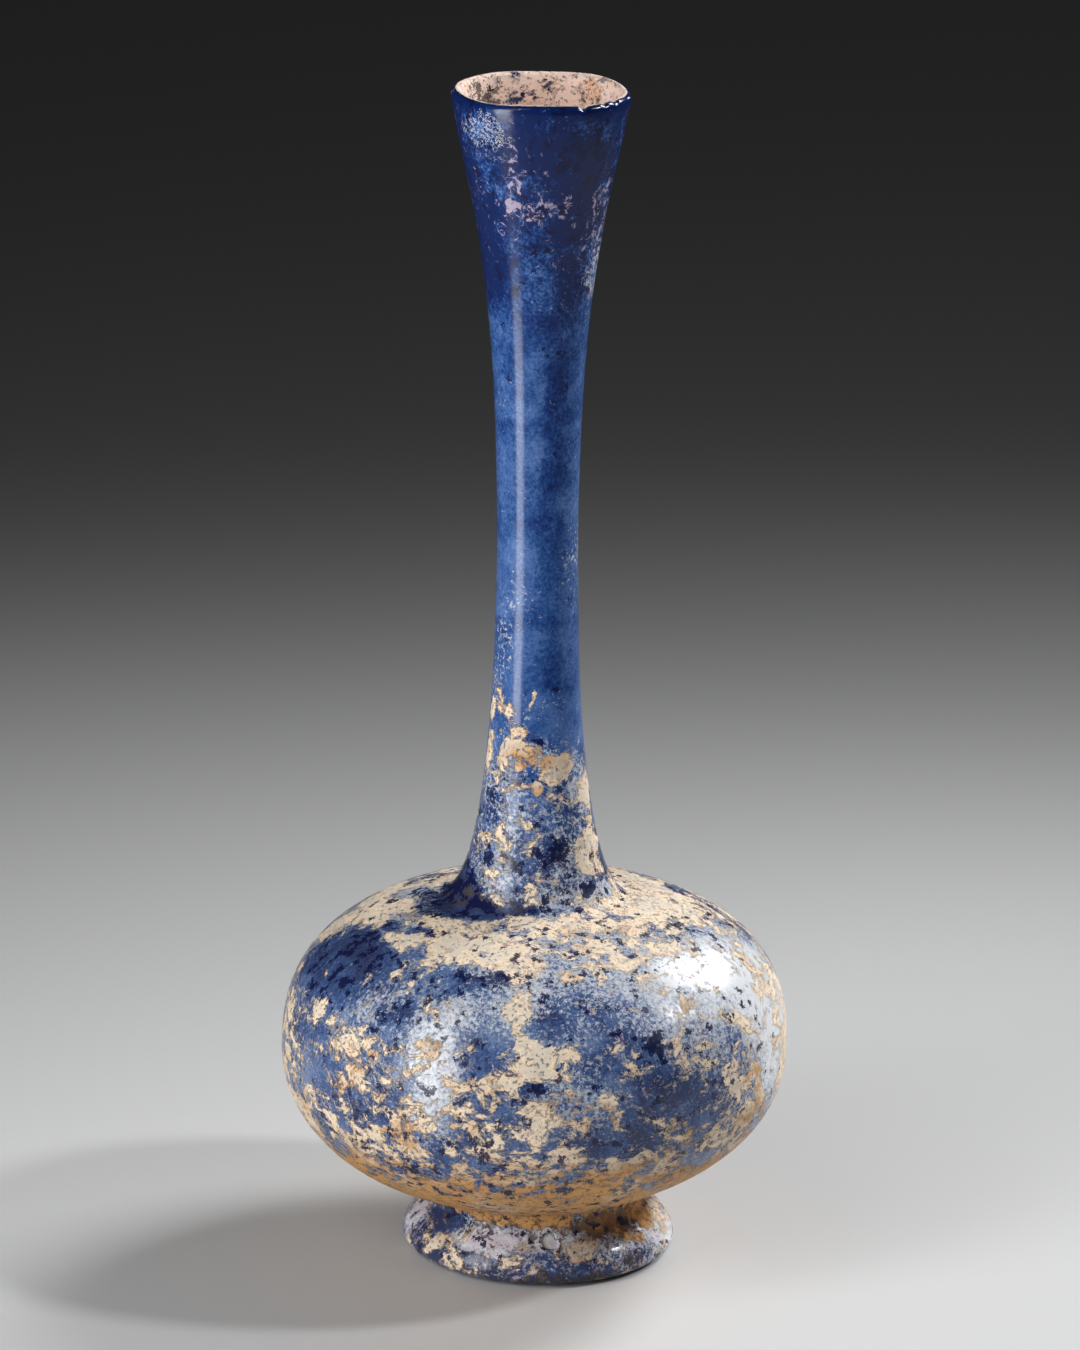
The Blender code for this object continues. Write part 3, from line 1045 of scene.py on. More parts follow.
@dataclass(frozen=True)
class WeatheredGlass:
    """Cobalt glass under its layers of weathering, from the bare glass up to the crust.

    A strength is the share of a layer's colour that shows where the layer is whole. A range is
    the pair of values between which a layer or a colour comes on.

    Attributes:
        name: the material's name.
        depths: the blues of the glass and of the film on it, from the deepest.
        haze: the pale film that lies in fine specks.
        bright_haze: the film where it is thickest, the lines of the crack web, and painted highlights
            where pale patches lie under a lamp's highlight.
        cream: the crust's own colour.
        thin_cream: the crust's greyer heart, and the thin halo round the crust.
        ochre: the crust where earth has stained it.
        grit: the dark earth that clings in hollows, and painted shade in the foot's waist and at the
            neck's root.
        rust: the same earth where it is stained.
        lilac: the sheen of old flaking glass.
        navy: the glass that shows where flakes have fallen off, and painted shade round the foot's
            scar and in the neck's shadow.
        slate: the dull film below the neck, and the floor of the fine pits in the crust.
        speck: the grain of the finest specks.
        clouds: the grain of the clouds in which the haze and the pits gather.
        stains: the grain of the earth's stains.
        film_grain: the grain of the blue film.
        film_mottle: how much the blue varies from place to place.
        film_speck: how much it varies from speck to speck.
        dull_fades: the heights between which the dull film fades out, from the upper.
        pale_drift: how much the haze gathers in clouds.
        stain_spread: how much the stains gather.
        heart_wear: how unevenly the crust's heart has worn.
        halo_speck: how specked the halo's edge is.
        wear: the grain of the crust's wear.
        worn_strength: how much of the crust is left where it has worn thin.
        bare_gain: how strongly the fallen flakes gather.
        pits: the grain of the fine pits.
        pit_drift: how strongly they gather.
        streaks: how much longer than high the crust's patches are on an upright wall.
    """

    name: str
    depths: tuple[tuple[float, Colour], ...] = (
        (0.00, (0.004, 0.014, 0.080, 1.0)),
        (0.22, (0.008, 0.032, 0.145, 1.0)),
        (0.42, (0.021, 0.070, 0.225, 1.0)),
        (0.60, (0.052, 0.115, 0.300, 1.0)),
        (0.80, (0.085, 0.160, 0.360, 1.0)),
        (1.00, (0.170, 0.250, 0.430, 1.0)),
    )
    haze: Colour = (0.36, 0.40, 0.47, 1.0)
    bright_haze: Colour = (0.76, 0.77, 0.79, 1.0)
    cream: Colour = (0.90, 0.70, 0.495, 1.0)
    thin_cream: Colour = (0.53, 0.505, 0.455, 1.0)
    ochre: Colour = (0.57, 0.300, 0.105, 1.0)
    grit: Colour = (0.045, 0.032, 0.026, 1.0)
    rust: Colour = (0.26, 0.125, 0.05, 1.0)
    lilac: Colour = (0.56, 0.46, 0.58, 1.0)
    navy: Colour = (0.005, 0.007, 0.042, 1.0)
    slate: Colour = (0.070, 0.080, 0.120, 1.0)
    glass_roughness: float = 0.16
    film_roughness: float = 0.19
    haze_roughness: float = 0.22
    crust_roughness: float = 0.72
    dirt_roughness: float = 0.80
    speck: Grain = Grain(1500.0, 3.0, 0.7)
    clouds: Grain = Grain(60.0, 4.0, 0.55, 0.4)
    stains: Grain = Grain(75.0, 10.0, 0.68, 0.3)
    film_grain: Grain = Grain(110.0, 13.0, 0.70, 0.25)
    film_range: tuple[float, float] = (0.2, 0.6)
    film_mottle: float = 3.4
    film_speck: float = 1.9
    dull_strength: float = 0.38
    dull_fades: tuple[float, float] = (0.105, 0.080)
    pale_drift: float = 2.4
    haze_strength: float = 0.85
    haze_flecks: Flecks = Flecks(1150.0, 6.0, 0.78, 0.2, 4.6, 0.14)
    sheen_strength: float = 0.62
    sheen_flecks: Flecks = Flecks(520.0, 9.0, 0.76, 1.0, 6.0, 0.12)
    web_strength: float = 0.62
    web_scale: float = 1000.0
    web_width: float = 0.085
    crust_flecks: Flecks = Flecks(170.0, 13.0, 0.79, 0.35, 6.4, 0.03)
    stain_spread: float = 3.6
    ochre_range: tuple[float, float] = (0.0, 1.0)
    deep_ochre_range: tuple[float, float] = (0.45, 1.15)
    rust_range: tuple[float, float] = (0.45, 1.7)
    heart_strength: float = 0.64
    heart_range: tuple[float, float] = (0.18, 0.60)
    heart_wear: float = 3.0
    halo_strength: float = 0.40
    halo_range: tuple[float, float] = (-0.16, -0.04)
    halo_speck: float = 2.0
    wear: Grain = Grain(420.0, 9.0, 0.72, 0.2)
    worn_strength: float = 0.50
    worn_range: tuple[float, float] = (0.34, 0.46)
    dirt_strength: float = 0.85
    dirt_flecks: Flecks = Flecks(520.0, 8.0, 0.76, 0.2, 5.0, 0.07)
    bare_strength: float = 0.93
    bare_scale: float = 950.0
    bare_gain: float = 3.4
    pits: Grain = Grain(1150.0, 4.0, 0.72)
    pit_strength: float = 0.72
    pit_range: tuple[float, float] = (0.58, 0.62)
    pit_drift: float = 0.05
    crust_rise_mm: float = 0.20
    haze_rise_mm: float = 0.008
    relief_grain: Grain = Grain(1400.0, 4.0, 0.6)
    glass_grain_mm: float = 0.012
    crust_grain_mm: float = 0.12
    specular: float = 0.32
    streaks: float = 1.45

    def build(self, groups: WeatherGroups) -> bpy.types.Material:
        """Build the material.

        Args:
            groups: the node groups that the flask's materials share.

        Returns:
            The material.
        """
        material = bpy.data.materials.new(self.name)
        material.use_nodes = True
        coats = Coats(material.node_tree, groups, self.streaks)
        graph = coats.graph
        speck = graph.swing(coats.place, *self.speck)
        drift = graph.times(graph.swing(coats.place, *self.clouds), self.pale_drift)
        stain = graph.swing(coats.streaked, *self.stains)
        stained = graph.plus(graph.times(stain, self.stain_spread), coats.share[Channel.OCHRE])

        self.lay_film(coats, speck)
        haze = self.lay_haze(coats, drift)
        self.lay_sheen(coats)
        crust, halo = self.lay_crust(coats, speck, stained)
        cover = graph.larger(halo, crust)
        coats.roughen(cover, self.crust_roughness)
        self.lay_dirt(coats, stained)
        fallen = self.shed_flakes(coats)
        pits = self.sink_pits(coats, drift, cover)

        kept = graph.minus(1.0, graph.larger(fallen, pits))
        raised = graph.times(graph.times(crust, kept), self.crust_rise_mm)
        raised = graph.plus(raised, graph.times(haze, self.haze_rise_mm))
        bump = self.roughened(graph, coats.place, raised, cover)
        shader = material.node_tree.nodes["Principled BSDF"]
        graph.feed(shader.inputs["Base Color"], coats.colour)
        graph.feed(shader.inputs["Roughness"], coats.roughness)
        graph.feed(shader.inputs["Normal"], bump)
        shader.inputs["Specular IOR Level"].default_value = self.specular
        return material

    def lay_film(self, coats: Coats, speck: Socket) -> None:
        """Colour the glass by how thick the blue film on it is, and dull it low down. The darker band
        up the neck's right is painted shade.

        Args:
            coats: the coats laid so far.
            speck: a fine swing.
        """
        graph, share = coats.graph, coats.share
        mottle = graph.times(share[Channel.MOTTLE], self.film_mottle)
        tone = graph.times(graph.swing(coats.place, *self.film_grain), mottle)
        fine = graph.times(speck, graph.times(share[Channel.MOTTLE], self.film_speck))
        tone = graph.plus(graph.plus(tone, fine), share[Channel.FILM])
        coats.colour = graph.ramp(tone, self.depths)
        height = graph.node("ShaderNodeSeparateXYZ")
        graph.feed(height.inputs[0], coats.place)
        dulled = graph.step(height.outputs["Z"], *self.dull_fades)
        coats.lay(graph.times(dulled, self.dull_strength), self.slate)
        coats.roughness = self.glass_roughness
        coats.roughen(graph.step(tone, *self.film_range), self.film_roughness)

    def lay_haze(self, coats: Coats, drift: Socket) -> Socket:
        """Lay the pale film, and the painted highlights that pale patches lay where lamps' highlights
        fall.

        Args:
            coats: the coats laid so far.
            drift: a slow swing, which gathers the film in clouds.

        Returns:
            The film's share.
        """
        graph = coats.graph
        pale = graph.plus(coats.share[Channel.PALE], drift)
        haze = coats.ragged(coats.place, pale, self.haze_flecks)
        share = graph.times(haze.outputs["mask"], self.haze_strength)
        thick = graph.step(haze.outputs["rise"], 0.0, 1.0)
        coats.lay(share, graph.blend(thick, self.haze, self.bright_haze))
        coats.roughen(share, self.haze_roughness)
        return share

    def lay_sheen(self, coats: Coats) -> None:
        """Lay the lilac sheen and the web of fine cracks.

        Args:
            coats: the coats laid so far.
        """
        graph, share = coats.graph, coats.share
        sheen = coats.ragged(coats.place, share[Channel.LILAC], self.sheen_flecks)
        coats.lay(graph.times(sheen.outputs["mask"], self.sheen_strength), self.lilac)
        web = graph.group(
            coats.groups.webbed, vector=coats.place, cover=share[Channel.WEB],
            scale=self.web_scale, width=self.web_width,
        )
        coats.lay(graph.times(web.outputs["mask"], self.web_strength), self.bright_haze)

    def lay_crust(self, coats: Coats, speck: Socket, stained: Socket) -> tuple[Socket, Socket]:
        """Lay the crust, and the thin halo of specks round it.

        Args:
            coats: the coats laid so far.
            speck: a fine swing.
            stained: how far earth has stained the crust.

        Returns:
            The crust's share and the halo's share.
        """
        graph = coats.graph
        crust = coats.ragged(coats.streaked, coats.share[Channel.CRUST], self.crust_flecks)
        rise = crust.outputs["rise"]
        wear = graph.noise(coats.place, *self.wear).outputs["Fac"]
        uneven = graph.times(graph.minus(wear, 0.5), self.heart_wear)
        heart = graph.step(graph.plus(rise, uneven), *self.heart_range)
        earth = graph.blend(graph.step(stained, *self.ochre_range), self.cream, self.ochre)
        earth = graph.blend(graph.times(heart, self.heart_strength), earth, self.thin_cream)
        earth = graph.blend(graph.step(stained, *self.deep_ochre_range), earth, self.ochre)

        edge = graph.plus(rise, graph.times(speck, self.halo_speck))
        halo_share = graph.times(graph.step(edge, *self.halo_range), self.halo_strength)
        coats.lay(halo_share, self.thin_cream)
        thickness = graph.lerp(graph.step(wear, *self.worn_range), self.worn_strength, 1.0)
        crust_share = graph.times(crust.outputs["mask"], thickness)
        coats.lay(crust_share, earth)
        return crust_share, halo_share

    def lay_dirt(self, coats: Coats, stained: Socket) -> None:
        """Lay the dark earth that clings in hollows, browner where it is stained, with the painted
        shade in the foot's waist and the painted shadow at the neck's root.

        Args:
            coats: the coats laid so far.
            stained: how far earth has stained the crust.
        """
        graph = coats.graph
        dirt = coats.ragged(coats.place, coats.share[Channel.DIRT], self.dirt_flecks)
        share = graph.times(dirt.outputs["mask"], self.dirt_strength)
        coats.lay(share, graph.blend(graph.step(stained, *self.rust_range), self.grit, self.rust))
        coats.roughen(share, self.dirt_roughness)

    def shed_flakes(self, coats: Coats) -> Socket:
        """Bare the dark glass where flakes have fallen off, and lay the same navy as painted shade
        round the foot's scar and in the neck's shadow.

        Args:
            coats: the coats laid so far.

        Returns:
            The share of the fallen flakes.
        """
        graph = coats.graph
        fallen = graph.group(
            coats.groups.flaked, vector=coats.place, cover=coats.share[Channel.BARE],
            scale=self.bare_scale, gain=self.bare_gain,
        ).outputs["mask"]
        coats.lay(graph.times(fallen, self.bare_strength), self.navy)
        coats.roughen(fallen, self.glass_roughness)
        return fallen

    def sink_pits(self, coats: Coats, drift: Socket, cover: Socket) -> Socket:
        """Sink fine dark pits into the crust.

        Args:
            coats: the coats laid so far.
            drift: a slow swing, which gathers the pits.
            cover: how far the crust covers the glass.

        Returns:
            The pits' share.
        """
        graph = coats.graph
        pit = graph.noise(coats.place, *self.pits)
        gathered = graph.plus(pit.outputs["Fac"], graph.times(drift, self.pit_drift))
        share = graph.times(graph.step(gathered, *self.pit_range), cover)
        coats.lay(graph.times(share, self.pit_strength), self.slate)
        return share

    def roughened(self, graph: Graph, place: Socket, raised: Socket, cover: Socket) -> Socket:
        """Return the normals of the relief, with a fine grain over it.

        Args:
            graph: the material's nodes.
            place: where each point is.
            raised: how far the coats stand off the glass, in mm.
            cover: how far the crust, whose grain is rougher, covers the glass.

        Returns:
            The normals.
        """
        grain = graph.noise(place, *self.relief_grain)
        grain_mm = graph.lerp(cover, self.glass_grain_mm, self.crust_grain_mm)
        bump = graph.node("ShaderNodeBump")
        bump.inputs["Strength"].default_value = 1.0
        bump.inputs["Distance"].default_value = MM
        height = graph.plus(raised, graph.times(grain.outputs["Fac"], grain_mm))
        graph.feed(bump.inputs["Height"], height)
        return bump.outputs["Normal"]


OUTSIDE = WeatheredGlass("weathered_cobalt_glass")
INSIDE = WeatheredGlass(
    "mouth_deposit",
    cream=(0.96, 0.77, 0.67, 1.0),
    thin_cream=(0.92, 0.72, 0.63, 1.0),
    ochre=(0.80, 0.48, 0.28, 1.0),
    specular=0.3,
)
HOLLOW = WeatheredGlass("foot_hollow_deposit", cream=(0.62, 0.50, 0.38, 1.0))


def section_point(radius: float, height: float) -> Vector:
    """Return a point of the half section."""
    return Vector((radius, 0.0, height))


@dataclass(frozen=True)
class FlaskOutline:
    """Half section of the upright flask, the same as the CAD part's but drawn more finely."""

    height: float = 237.8 * MM
    body_radius: float = 50.5 * MM
    body_widest_z: float = 42.3 * MM
    body_dome: float = 32.95 * MM
    body_bowl: float = 31.1 * MM
    dome_fullness: float = 2.49
    bowl_fullness: float = 2.04
    neck_leaves_shoulder: float = math.radians(72.9)
    shoulder_reach: float = 9.6 * MM
    neck_waist_radius: float = 8.0 * MM
    neck_waist_z: float = 145.75 * MM
    neck_reach_down: float = 20.3 * MM
    neck_reach_up: float = 60.0 * MM
    mouth_radius: float = 17.4 * MM
    mouth_flare: float = 0.138
    mouth_reach: float = 17.5 * MM
    foot_radius: float = 27.4 * MM
    foot_widest_z: float = 2.5 * MM
    contact_outer: float = 22.3 * MM
    contact_inner: float = 19.8 * MM
    foot_waist_radius: float = 21.8 * MM
    foot_waist_z: float = 11.3 * MM
    foot_joins_body: float = 25.0 * MM
    splay_reach: float = 4.4 * MM
    waist_reach: float = 2.3 * MM
    root_reach: float = 1.6 * MM
    hollow_depth: float = 9.0 * MM
    wall: float = 2.2 * MM
    lip_wall: float = 1.8 * MM
    floor_z: float = 15.2 * MM
    tangent_nudge: float = 1e-4
    hollow_steps: int = 26
    edge_steps: int = 8
    splay_steps: int = 14
    root_steps: int = 8
    bowl_steps: int = 54
    dome_steps: int = 64
    neck_steps: tuple[int, int] = (78, 76)
    lip_steps: int = 8
    inner_bowl_steps: int = 14
    inner_dome_steps: int = 12
    inner_neck_steps: tuple[int, int] = (14, 22)

    def globe_point(self, radius: float, rise: float, angle: float) -> Vector:
        """Return the body's outline at an angle from its widest ring."""
        power = 2.0 / (self.dome_fullness if rise > 0.0 else self.bowl_fullness)
        return section_point(
            radius * math.cos(angle) ** power,
            self.body_widest_z + rise * math.sin(angle) ** power,
        )

    def bowl_angle(self, radius: float, at_radius: float) -> float:
        """Return the angle at which the bowl of a radius has narrowed to at_radius."""
        return math.acos((at_radius / radius) ** (self.bowl_fullness / 2.0))

    def globe_arc(
        self, radius: float, rise: float, first: float, last: float, steps: int
    ) -> list[Vector]:
        """Return the points of the globe's outline from the first angle to the last."""
        return [
            self.globe_point(radius, rise, first + (last - first) * step / steps)
            for step in range(steps + 1)
        ]

    def tangent(self, radius: float, rise: float, angle: float) -> Vector:
        """Return the unit direction of the globe's outline at an angle, towards its top."""
        ahead = self.globe_point(radius, rise, angle + self.tangent_nudge)
        return (ahead - self.globe_point(radius, rise, angle)).normalized()

    def span(
        self, start: Vector, start_handle: Vector, end_handle: Vector, end: Vector, steps: int
    ) -> list[Vector]:
        """Return the points of one Bezier span, its handles given as offsets from its ends."""
        return list(
            interpolate_bezier(start, start + start_handle, end + end_handle, end, steps + 1)
        )

    def hollow(self) -> list[Vector]:
        """Return the hollow under the foot, from its middle to the ring the flask stands on."""
        turns = [QUARTER_TURN * step / self.hollow_steps for step in range(self.hollow_steps + 1)]
        return [
            section_point(self.contact_inner * math.sin(turn), self.hollow_depth * math.cos(turn))
            for turn in turns
        ]

    def foot(self) -> list[Vector]:
        """Draw the outside of the foot.

        Returns:
            The points, from the ring it stands on up to the body.
        """
        up = section_point(0.0, 1.0)
        edge_width = self.foot_radius - self.contact_outer
        turns = [QUARTER_TURN * step / self.edge_steps for step in range(self.edge_steps + 1)]
        rounded = [
            section_point(
                self.contact_outer + edge_width * math.sin(turn),
                self.foot_widest_z * (1.0 - math.cos(turn)),
            )
            for turn in turns
        ]
        waist = section_point(self.foot_waist_radius, self.foot_waist_z)
        splay = self.span(
            rounded[-1], up * self.splay_reach, -up * self.waist_reach, waist, self.splay_steps
        )
        angle = self.bowl_angle(self.body_radius, self.foot_joins_body)
        body = self.globe_point(self.body_radius, -self.body_bowl, angle)
        inward = self.tangent(self.body_radius, -self.body_bowl, angle)
        root = self.span(
            waist, up * self.waist_reach, inward * self.root_reach, body, self.root_steps
        )
        return rounded + splay[1:] + root[1:]

    def neck(self, steps: tuple[int, int]) -> list[Vector]:
        """Return the outside of the neck, from the shoulder up to the lip.

        Args:
            steps: how finely the neck is divided below its waist and above it.

        Returns:
            The points of the neck.
        """
        root = self.globe_point(self.body_radius, self.body_dome, self.neck_leaves_shoulder)
        leaves = self.tangent(self.body_radius, self.body_dome, self.neck_leaves_shoulder)
        waist = section_point(self.neck_waist_radius, self.neck_waist_z)
        mouth = section_point(self.mouth_radius, self.height - self.lip_wall / 2.0)
        flare = section_point(self.mouth_flare, 1.0).normalized()
        up = section_point(0.0, 1.0)
        lower = self.span(
            root, leaves * self.shoulder_reach, -up * self.neck_reach_down, waist, steps[0]
        )
        upper = self.span(
            waist, up * self.neck_reach_up, -flare * self.mouth_reach, mouth, steps[1]
        )
        return lower + upper[1:]

    def lip(self) -> list[Vector]:
        """Draw the half-round lip between the outside and the inside of the mouth.

        Returns:
            The points between its two ends.
        """
        half = self.lip_wall / 2.0
        turns = [math.pi * step / self.lip_steps for step in range(1, self.lip_steps)]
        return [
            section_point(
                self.mouth_radius - half + half * math.cos(turn),
                self.height - half + half * math.sin(turn),
            )
            for turn in turns
        ]

    def inset(self, outline: list[Vector]) -> list[Vector]:
        """Move an outline in by the wall's thickness.

        Args:
            outline: an outline that runs up the outside.

        Returns:
            The moved points.
        """
        moved = []
        for place, point in enumerate(outline):
            before = outline[max(place - 1, 0)]
            after = outline[min(place + 1, len(outline) - 1)]
            along = (after - before).normalized()
            thinning = smooth_step(self.neck_waist_z, self.height, point.z)
            wall = self.wall - (self.wall - self.lip_wall) * thinning
            moved.append(point + section_point(-along.z, along.x) * wall)
        return moved

    def outside(self) -> list[Vector]:
        """Draw the outside, from the ring the flask stands on up to the lip.

        Returns:
            The points.
        """
        start = self.bowl_angle(self.body_radius, self.foot_joins_body)
        bowl = self.globe_arc(self.body_radius, -self.body_bowl, start, 0.0, self.bowl_steps)
        dome = self.globe_arc(
            self.body_radius, self.body_dome, 0.0, self.neck_leaves_shoulder, self.dome_steps
        )
        return self.foot() + bowl[1:] + dome[1:] + self.neck(self.neck_steps)[1:]

    def inside(self) -> list[Vector]:
        """Draw the inside, from the mouth down to the middle of the floor.

        Returns:
            The points.
        """
        dome = self.globe_arc(
            self.body_radius, self.body_dome, 0.0, self.neck_leaves_shoulder,
            self.inner_dome_steps,
        )
        above_ring = self.inset(dome + self.neck(self.inner_neck_steps)[1:])[1:-1]
        mouth = section_point(self.mouth_radius - self.lip_wall, self.height - self.lip_wall / 2.0)
        bowl = self.globe_arc(
            self.body_radius - self.wall, self.floor_z - self.body_widest_z, 0.0, QUARTER_TURN,
            self.inner_bowl_steps,
        )
        bowl[-1].x = 0.0
        return [mouth] + above_ring[::-1] + bowl


@dataclass(frozen=True)
class Stance:
    """How the real flask stands askew: its foot is off centre and its body and neck lean."""

    neck_drift: float = math.tan(math.radians(0.85))
    foot_offset: float = 1.3 * MM
    body_tilt: float = math.radians(1.4)
    lip_tilt: float = math.radians(0.3)
    foot_top_z: float = 8.0 * MM
    body_bottom_z: float = 20.0 * MM
    body_widest_z: float = 42.3 * MM
    shoulder_z: float = 78.0 * MM
    height: float = 237.8 * MM

    def lean(self, points: np.ndarray) -> np.ndarray:
        """Move the points of the upright flask to where they lie in the real one.

        Args:
            points: the points of the upright flask.

        Returns:
            The points where they lie in the real one.
        """
        x, y, z = points.T
        above_foot = smooth_steps(self.foot_top_z, self.body_bottom_z, z)
        up_neck = smooth_steps(self.shoulder_z, self.height, z)
        tilt = above_foot * (self.body_tilt + (self.lip_tilt - self.body_tilt) * up_neck)
        drift = self.foot_offset * (1.0 - above_foot)
        drift = drift - self.neck_drift * (z - self.body_widest_z)
        return np.column_stack((drift + x * np.cos(tilt), y, z + x * np.sin(tilt)))


@dataclass(frozen=True)
class Warp:
    """Random shifts that make the outlines of patches ragged.

    Attributes:
        seed: the seed of the shifts, which keeps them the same at every run.
        waves: the length of each wave of shifts and how far it goes, both in mm.
    """

    seed: int = 3
    waves: tuple[tuple[float, float], ...] = ((5.0, 2.0), (1.8, 1.1))

    def read(self, points: np.ndarray) -> np.ndarray:
        """Return how far each point is read off its place, round and along, in mm."""
        noise.seed_set(self.seed)
        return np.array([self.shift(Vector(point)) for point in points])

    def shift(self, point: Vector) -> tuple[float, float]:
        """Return how far one point is read off its place."""
        shifts = [noise.noise_vector(point / (size * MM)) * reach for size, reach in self.waves]
        return sum(shift.x for shift in shifts), sum(shift.y for shift in shifts)


@dataclass
class SkinPlaces:
    """Where every point of the upright skin is.

    Attributes:
        points: the points, in metres.
        normals: the skin's outward directions.
        bearing: how far round the flask each point is, in degrees.
        radius: each point's distance from the axis, in mm.
        along: how far each point is along the outline from the ring it stands on, in mm.
        warp: how far round and along the skin each point is read off its place, in mm.
    """

    points: np.ndarray
    normals: np.ndarray
    bearing: np.ndarray
    radius: np.ndarray
    along: np.ndarray
    warp: np.ndarray

    @classmethod
    def read(cls, mesh: bpy.types.Mesh, warp: Warp) -> "SkinPlaces":
        """Read the places from the upright mesh.

        Args:
            mesh: the upright mesh.
            warp: the shifts that make the outlines of patches ragged.

        Returns:
            The places.
        """
        count = len(mesh.vertices)
        points = np.empty(count * 3, np.float32)
        mesh.vertices.foreach_get("co", points)
        points = points.reshape(-1, 3).astype(float)
        normals = np.empty(count * 3, np.float32)
        mesh.vertex_normals.foreach_get("vector", normals)
        along = np.empty(count, np.float32)
        mesh.attributes["along_mm"].data.foreach_get("value", along)
        return cls(
            points=points,
            normals=normals.reshape(-1, 3).astype(float),
            bearing=np.degrees(np.arctan2(points[:, 0], -points[:, 1])),
            radius=np.hypot(points[:, 0], points[:, 1]) / MM,
            along=along.astype(float),
            warp=warp.read(points),
        )

    def turned_from(self, bearing: float) -> np.ndarray:
        """Return how far round from a bearing each point is, from -180 to 180 degrees."""
        return (self.bearing - bearing + 180.0) % 360.0 - 180.0

    def ripple(self, size_mm: float, depth_mm: float) -> np.ndarray:
        """Return a slow random ripple of the skin, from minus to plus the depth."""
        scale = 1.0 / (size_mm * MM)
        return np.array([noise.noise(Vector(point) * scale) for point in self.points]) * depth_mm


@dataclass(frozen=True)
class PatchEdge:
    """How a patch fades out towards its edge, and how ragged that edge is.

    Attributes:
        whole_to: how far out the patch is whole, as a share of its half width.
        gone_at: how far out it has faded out, as a share of its half width.
        full_warp_mm: the width from which a patch is as ragged as the warp makes it. The
            warp of a narrower one shrinks with it.
    """

    whole_to: float = 0.45
    gone_at: float = 1.25
    full_warp_mm: float = 5.0

    def cover(self, patch: Patch, places: SkinPlaces, middle_mm: float) -> np.ndarray:
        """Return how far a patch covers each point of the skin.

        Args:
            patch: the patch.
            places: where the skin's points are.
            middle_mm: how far along the outline the patch's middle is.

        Returns:
            The cover, 1 well inside the patch and 0 outside it.
        """
        reach = min(1.0, min(patch.across_mm, patch.along_mm) / self.full_warp_mm)
        turned = np.radians(places.turned_from(patch.bearing))
        across = turned * places.radius + places.warp[:, 0] * reach
        along = places.along - middle_mm + places.warp[:, 1] * reach
        turn = math.radians(patch.turn)
        first = (across * math.cos(turn) + along * math.sin(turn)) / (patch.across_mm / 2.0)
        second = (along * math.cos(turn) - across * math.sin(turn)) / (patch.along_mm / 2.0)
        return 1.0 - smooth_steps(self.whole_to, self.gone_at, np.hypot(first, second))


@dataclass(frozen=True)
class Forms:
    """Marks of making and age that stand off the smooth skin or are sunk in it, in mm.

    Attributes:
        crust_rise: how far the thickest crust stands off.
        crust_range: the crust's shares between which it rises to that.
        swelling_rise: how far the body's right side swells.
        flake_rise: how far the flake at the lip stands off.
        scar_depth: how deep the scar on the foot is.
        scar_rim: the covers between which the floor of the scar rises to its rim.
        pontil_rise: how far the ring that the pontil left under the foot stands off.
        pontil_radius: that ring's radius.
        pontil_width: that ring's half width.
        pontil_from: how far in from the outside of the foot's ring it may start.
        ripple_depth: how far the slow ripple of the skin goes either way.
        ripple_size: how long the ripple is.
        level_ring: how wide the level ring is that the flask stands on.
        level_margin: how far from that ring the forms reach their full size.
    """

    crust_rise: float = 0.12
    crust_range: tuple[float, float] = (0.4, 1.2)
    swelling_rise: float = 0.45
    flake_rise: float = 0.30
    scar_depth: float = 0.55
    scar_rim: tuple[float, float] = (0.25, 0.60)
    pontil_rise: float = 0.45
    pontil_radius: float = 7.5
    pontil_width: float = 0.9
    pontil_from: float = 3.0
    ripple_depth: float = 0.22
    ripple_size: float = 28.0
    level_ring: float = 2.5
    level_margin: float = 5.0

    def pontil(self, places: SkinPlaces) -> np.ndarray:
        """Raise the low ring in the hollow under the foot.

        Args:
            places: where the skin's points are.

        Returns:
            How far each point stands off.
        """
        off_ring = (places.radius - self.pontil_radius) / self.pontil_width
        in_hollow = places.along < -self.pontil_from
        return np.exp(-(off_ring**2)) * in_hollow * self.pontil_rise

    def off_level_ring(self, places: SkinPlaces) -> np.ndarray:
        """Rise from 0 on the level ring to 1 away from it.

        Args:
            places: where the skin's points are.

        Returns:
            The share at each point.
        """
        half = self.level_ring / 2.0
        away = np.abs(places.along + half) - half
        return smooth_steps(0.0, self.level_margin, away)


